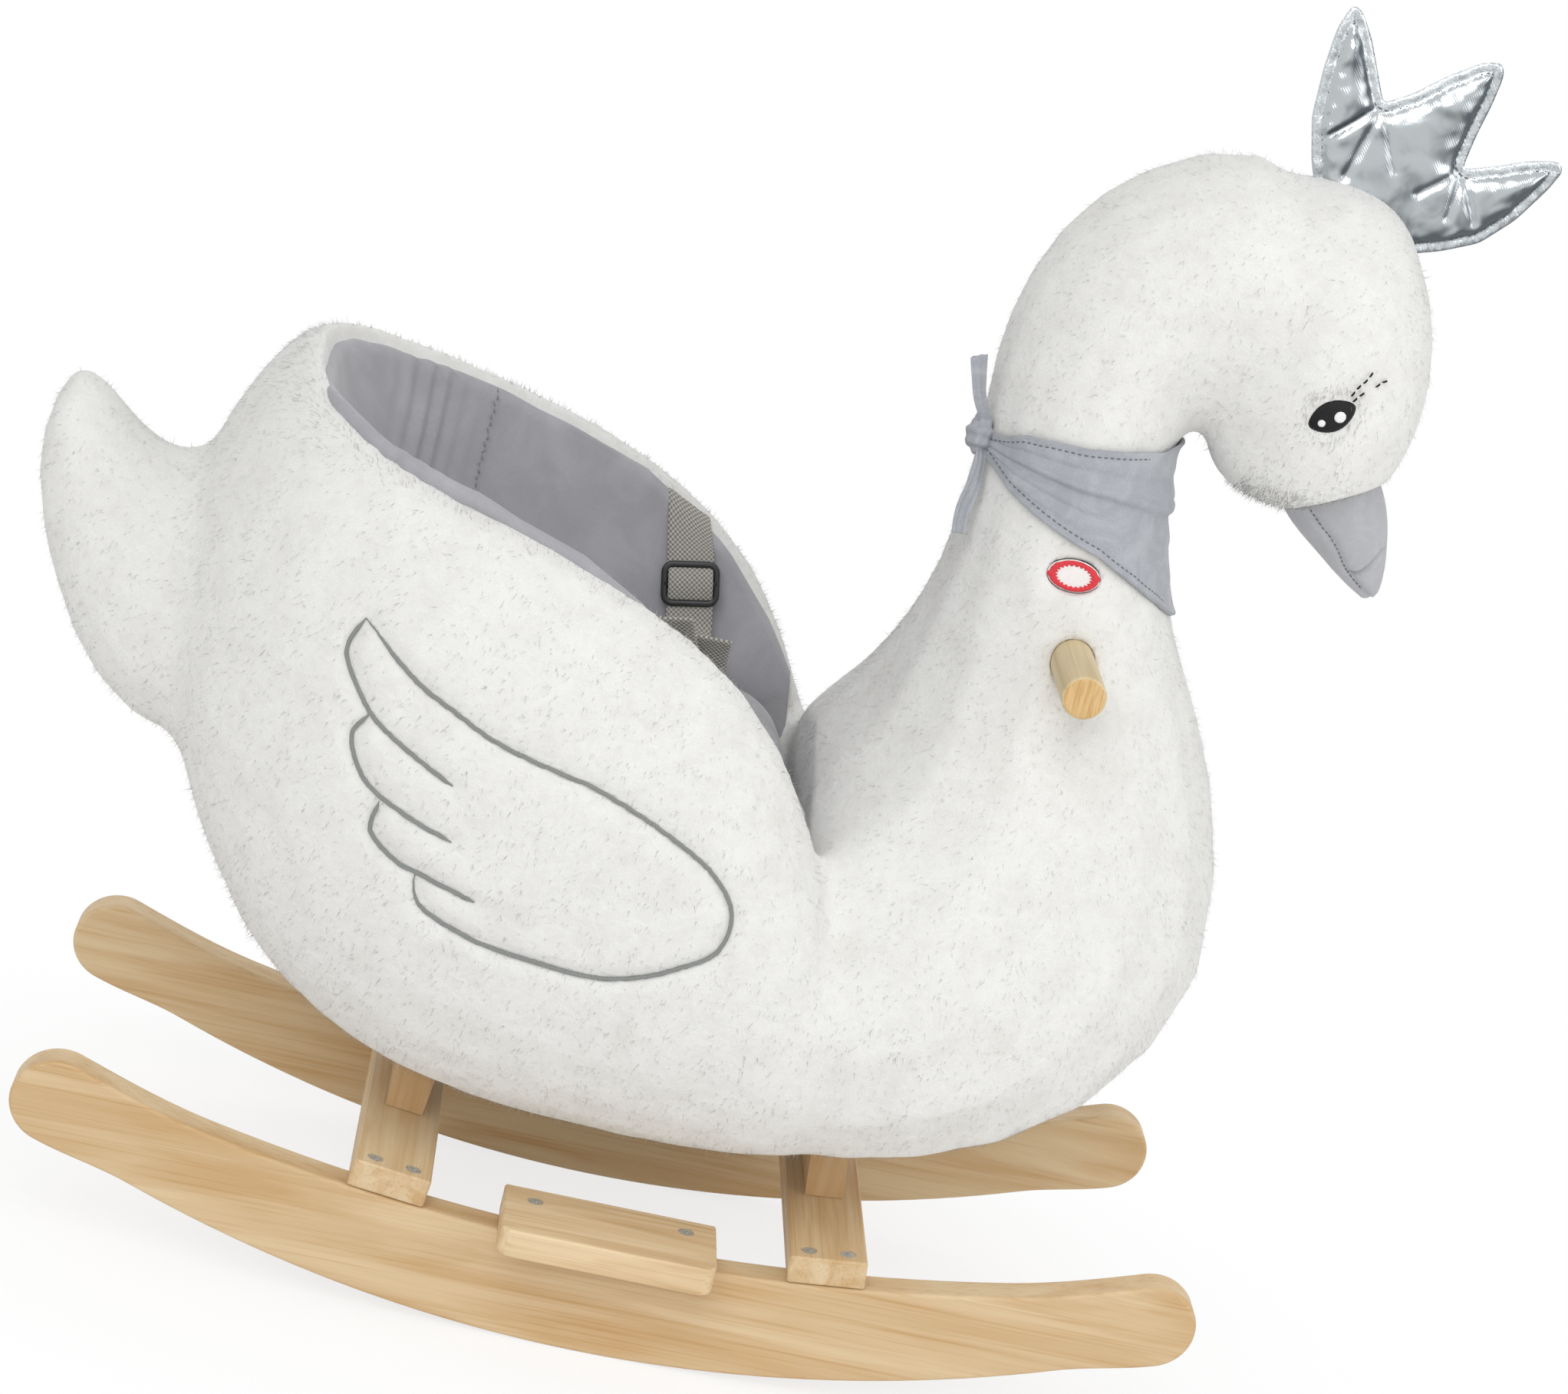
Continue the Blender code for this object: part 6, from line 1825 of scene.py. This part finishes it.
    def knot(self) -> None:
        """Tie the knot: a wrapped lump with ribs round it."""
        rings, spokes = 40, 44
        points = []
        for ring in range(rings + 1):
            rise = math.pi * ring / rings
            for turn in turns_of(spokes):
                way = Vector((math.sin(rise) * math.cos(turn), math.sin(rise) * math.sin(turn), math.cos(rise)))
                wrap = 1 + 0.09 * math.sin(9 * way.z + 2.2 * math.sin(turn)) + 0.12 * noise.noise(way * 2.2)
                points.append(toy(0.09 + way.x * 0.0068 * wrap, -0.0205 + way.y * 0.0078 * wrap,
                                  0.4935 + way.z * 0.0092 * wrap))
        keep(closed_mesh(make_piece("scarf_knot_wrap", points, grid_faces(rings + 1, spokes, closed=True),
                                    SCARF_VELOUR)), ["scarf_knot"])

    def ends(self) -> None:
        """Hang the two ends out of the knot, each folded lengthwise into ribs."""
        paths = {"scarf_tail_upper": ((0.0905, -0.0205, 0.496), (0.089, -0.0225, 0.504), (0.0845, -0.025, 0.513),
                                      (0.0815, -0.0275, 0.523), (0.0785, -0.029, 0.5335)),
                 "scarf_tail_lower": ((0.0915, -0.0215, 0.49), (0.0925, -0.026, 0.481), (0.092, -0.03, 0.469),
                                      (0.09, -0.0335, 0.457), (0.0905, -0.036, 0.446))}
        for name, path in paths.items():
            spine = [toy(*point) for point in smooth_path(path, 1.2 * MM)]
            last = len(spine) - 1
            points = []
            ribs = 28
            for index, (middle, along) in enumerate(zip(spine, ways_of(spine))):
                share = index / last
                up = Vector((0.25 + 0.35 * math.sin(2.5 * share), -0.95, 0.1))
                across = along.cross(up).normalized()
                up = across.cross(along).normalized()
                wide = (2.6 + 2.2 * min(1.0, share * 1.6)) * MM
                for angle in turns_of(ribs):
                    out = math.cos(angle)
                    ridge = 0.55 * MM * math.cos(out * 7.5 + 0.5) * (0.6 + 0.4 * share)
                    points.append(middle + across * (wide * out)
                                  + up * (math.sin(angle) * 0.9 * MM + ridge + 0.6 * MM * math.sin(share * 6 + out)))
            keep(closed_mesh(make_piece(name + "_end", points, tube_faces(len(spine), ribs), SCARF_VELOUR)),
                 [name])


@dataclass
class PressPatch:
    """The press patch: a cloth oval with a serrated ring of red satin stitch and a bare centre."""

    face_y: float = -0.056
    half: Flat = (0.013, 0.008)
    cloth_scale: float = 1.02
    teeth: int = 22

    def build(self) -> None:
        """Build the cloth and the ring, which move with the button."""
        spokes = self.teeth * 6
        body = "press_button_body"
        keep(self.plate(spokes), ["press_patch"], body)
        keep(self.ring(spokes), body=body)

    def spot(self, angle: float, share: float, lift: float) -> Vector:
        """A point of the patch at a share of its oval, raised off its cloth."""
        x = PATCH[0] + self.half[0] * share * math.cos(angle)
        z = PATCH[1] + self.half[1] * share * math.sin(angle)
        return toy(x, self.face_y - lift, z)

    def plate(self, spokes: int) -> Piece:
        """A thin crowned oval."""
        shares = [share * self.cloth_scale for share in (0.0, 0.4, 0.7, 0.9, 1.0)]
        front = [self.spot(angle, share, 0.6 * MM * (1 - (share / self.cloth_scale)**4))
                 for share in shares for angle in turns_of(spokes)]
        back = [self.spot(angle, share, -0.7 * MM) for share in shares for angle in turns_of(spokes)]
        return closed_mesh(make_piece("patch_oval", front + back, plate_faces(len(shares), spokes), PATCH_CLOTH))

    def ring(self, spokes: int) -> Piece:
        """The stitched ring, toothed on its inside, with two brushed ends."""
        rows = []
        for spoke, angle in enumerate(turns_of(spokes)):
            tooth = abs((spoke % 6) / 3 - 1)
            inner = 0.6 + 0.12 * tooth
            ends = math.exp(-((angle - 0.15) / 0.16)**2) + math.exp(-((angle - math.pi - 0.15) / 0.16)**2)
            outer = 0.97 + 0.03 * noise.noise(Vector((math.cos(angle), math.sin(angle), 0)) * 4) + 0.07 * ends
            section = ((inner, 0.4), (inner + 0.03, 0.9), ((inner + outer) / 2, 1.3), (outer - 0.03, 0.9),
                       (outer, 0.2), (outer, -0.3), (inner, -0.3))
            rows += [self.spot(angle, share, lift * MM) for share, lift in section]
        faces = grid_faces(spokes, 7, closed=True)
        last = (spokes - 1) * 7
        faces += [(last + index, last + (index + 1) % 7, (index + 1) % 7, index) for index in range(7)]
        return closed_mesh(make_piece("patch_ring", rows, faces, RED_THREAD))


@dataclass
class Studio:
    """The floor, the light, and the camera where the photograph was taken from."""

    down_deg: float = 19.0
    focal_px: float = 4668.6
    image: tuple[int, int] = (2044, 1817)
    upright_px: float = 877.0
    foot_px: Flat = (1250.0, 1801.0)
    foot_y: float = -0.11
    foot_depth: float = 1.838
    lean_deg: float = 13.7
    pivot: Flat = (-0.0304, 0.6944)
    sensor_mm: float = 36.0

    def build(self) -> None:
        """Set up everything that isn't the toy."""
        self.camera()
        self.floor()
        self.lights()
        bpy.context.scene.view_settings.view_transform = "Standard"

    def leaned(self, way: Vector) -> Vector:
        """Turn a way of the photograph's level frame into the toy's, which stood leaning forward in it."""
        lean = math.radians(self.lean_deg)
        return Vector((math.cos(lean) * way.x - math.sin(lean) * way.z, way.y,
                       math.sin(lean) * way.x + math.cos(lean) * way.z))

    def placed(self, point: Vector) -> Vector:
        """Turn a point of the photograph's level frame into the record's."""
        moved = self.leaned(point - Vector((self.pivot[0], 0, self.pivot[1])))
        return moved + Vector((TOY_X, 0, self.pivot[1]))

    def camera(self) -> None:
        """Place the camera by the rockers' perspective in the photograph."""
        down = math.radians(self.down_deg)
        middle = (self.image[0] / 2, self.image[1] / 2)
        yaw = math.atan((middle[0] - self.upright_px) * math.cos(down) / self.focal_px)
        right = Vector((math.cos(yaw), -math.sin(yaw), 0))
        ahead = Vector((math.sin(yaw) * math.cos(down), math.cos(yaw) * math.cos(down), -math.sin(down)))
        up = Vector((math.sin(yaw) * math.sin(down), math.cos(yaw) * math.sin(down), math.cos(down)))
        across = (self.foot_px[0] - middle[0]) / self.focal_px * self.foot_depth
        above = -(self.foot_px[1] - middle[1]) / self.focal_px * self.foot_depth
        place = Vector((0, self.foot_y, 0)) - right * across - up * above - ahead * self.foot_depth
        turn = Matrix((self.leaned(right), self.leaned(up), -self.leaned(ahead))).transposed().to_4x4()
        lens = bpy.data.cameras.new("photograph")
        lens.sensor_width = self.sensor_mm
        lens.sensor_fit = "HORIZONTAL"
        lens.lens = self.focal_px / self.image[0] * self.sensor_mm
        lens.clip_end = 200.0
        camera = bpy.data.objects.new("photograph", lens)
        camera.matrix_world = Matrix.Translation(self.placed(place)) @ turn
        bpy.context.scene.collection.objects.link(camera)
        bpy.context.scene.camera = camera

    def floor(self) -> None:
        """Lay a pale floor that fades into the white backdrop away from the toy."""
        size = 30.0
        corners = [(-size, -size, 0), (size, -size, 0), (size, size, 0), (-size, size, 0)]
        piece = make_piece("floor", corners, [(0, 1, 2, 3)], Finish("floor_paint", "FDFDFD", 0.9), smooth=False)
        tree = piece.data.materials[0].node_tree
        shader = tree.nodes["Principled BSDF"]
        feed(shader, {"Specular IOR Level": 0.0})
        where = tree.nodes["Texture Coordinate"].outputs["Object"]
        squeezed = add(tree, "VectorMath", {0: where, 1: (0.8, 1.5, 0.0)}, operation="MULTIPLY")
        away = add(tree, "VectorMath", {0: squeezed}, 1, operation="LENGTH")
        far = add(tree, "MapRange", {"Value": away, "From Min": 0.16, "From Max": 0.46},
                  interpolation_type="SMOOTHSTEP")
        thin = add(tree, "MapRange", {"Value": far, "To Min": 0.75, "To Max": 1.0})
        share = add(tree, "Math", {0: thin, 1: self.seen(tree)}, operation="MULTIPLY")
        glow = add(tree, "Emission", {"Color": (1, 1, 1, 1), "Strength": 1.0})
        blend = add(tree, "MixShader", {0: share, 1: shader.outputs[0], 2: glow})
        feed(tree.nodes["Material Output"], {0: blend})

    @staticmethod
    def seen(tree: Tree) -> Socket:
        """1 for rays that show the backdrop: straight, mirrored or through glass."""
        path = add(tree, "LightPath").node.outputs
        either = add(tree, "Math", {0: path["Is Camera Ray"], 1: path["Is Glossy Ray"]}, operation="MAXIMUM")
        return add(tree, "Math", {0: either, 1: path["Is Transmission Ray"]}, operation="MAXIMUM")

    def lights(self) -> None:
        """Hang a large soft lamp above the near side, a weaker one at the right, and a pale sky."""
        for name, place, size, power in (("key", (-0.7, -2.1, 2.3), 2.2, 40.0), ("fill", (2.2, -1.2, 1.4), 2.0, 19.0),
                                         ("back", (0.3, 2.0, 2.2), 2.0, 10.0)):
            lamp = bpy.data.lights.new(name, "AREA")
            lamp.energy = power
            lamp.size = size
            lamp.color = (1.0, 0.995, 0.985)
            light = bpy.data.objects.new(name, lamp)
            spot = Vector(place)
            light.matrix_world = Matrix.Translation(spot) @ (Vector((0, 0, 0.3)) - spot).to_track_quat(
                "-Z", "Y").to_matrix().to_4x4()
            bpy.context.scene.collection.objects.link(light)
        world = bpy.data.worlds.new("sky")
        bpy.context.scene.world = world
        world.use_nodes = True
        tree = world.node_tree
        strength = add(tree, "MapRange", {"Value": self.seen(tree), "To Min": 0.52, "To Max": 1.0})
        feed(tree.nodes["Background"], {"Color": (1.0, 1.0, 1.0, 1.0), "Strength": strength})


def main() -> None:
    """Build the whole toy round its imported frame."""
    logging.basicConfig(level=logging.INFO, format="%(message)s")
    bpy.ops.object.select_all(action="SELECT")
    bpy.ops.object.delete()
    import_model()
    Studio().build()
    Timber().build()
    InnerParts().build()
    skin = Covers().build()
    Seat().build()
    Belt().build()
    Crown().build()
    Face().build(skin)
    Scarf().build(skin)
    PressPatch().build()
    bpy.data.objects.remove(skin)


if __name__ == "__main__":
    main()
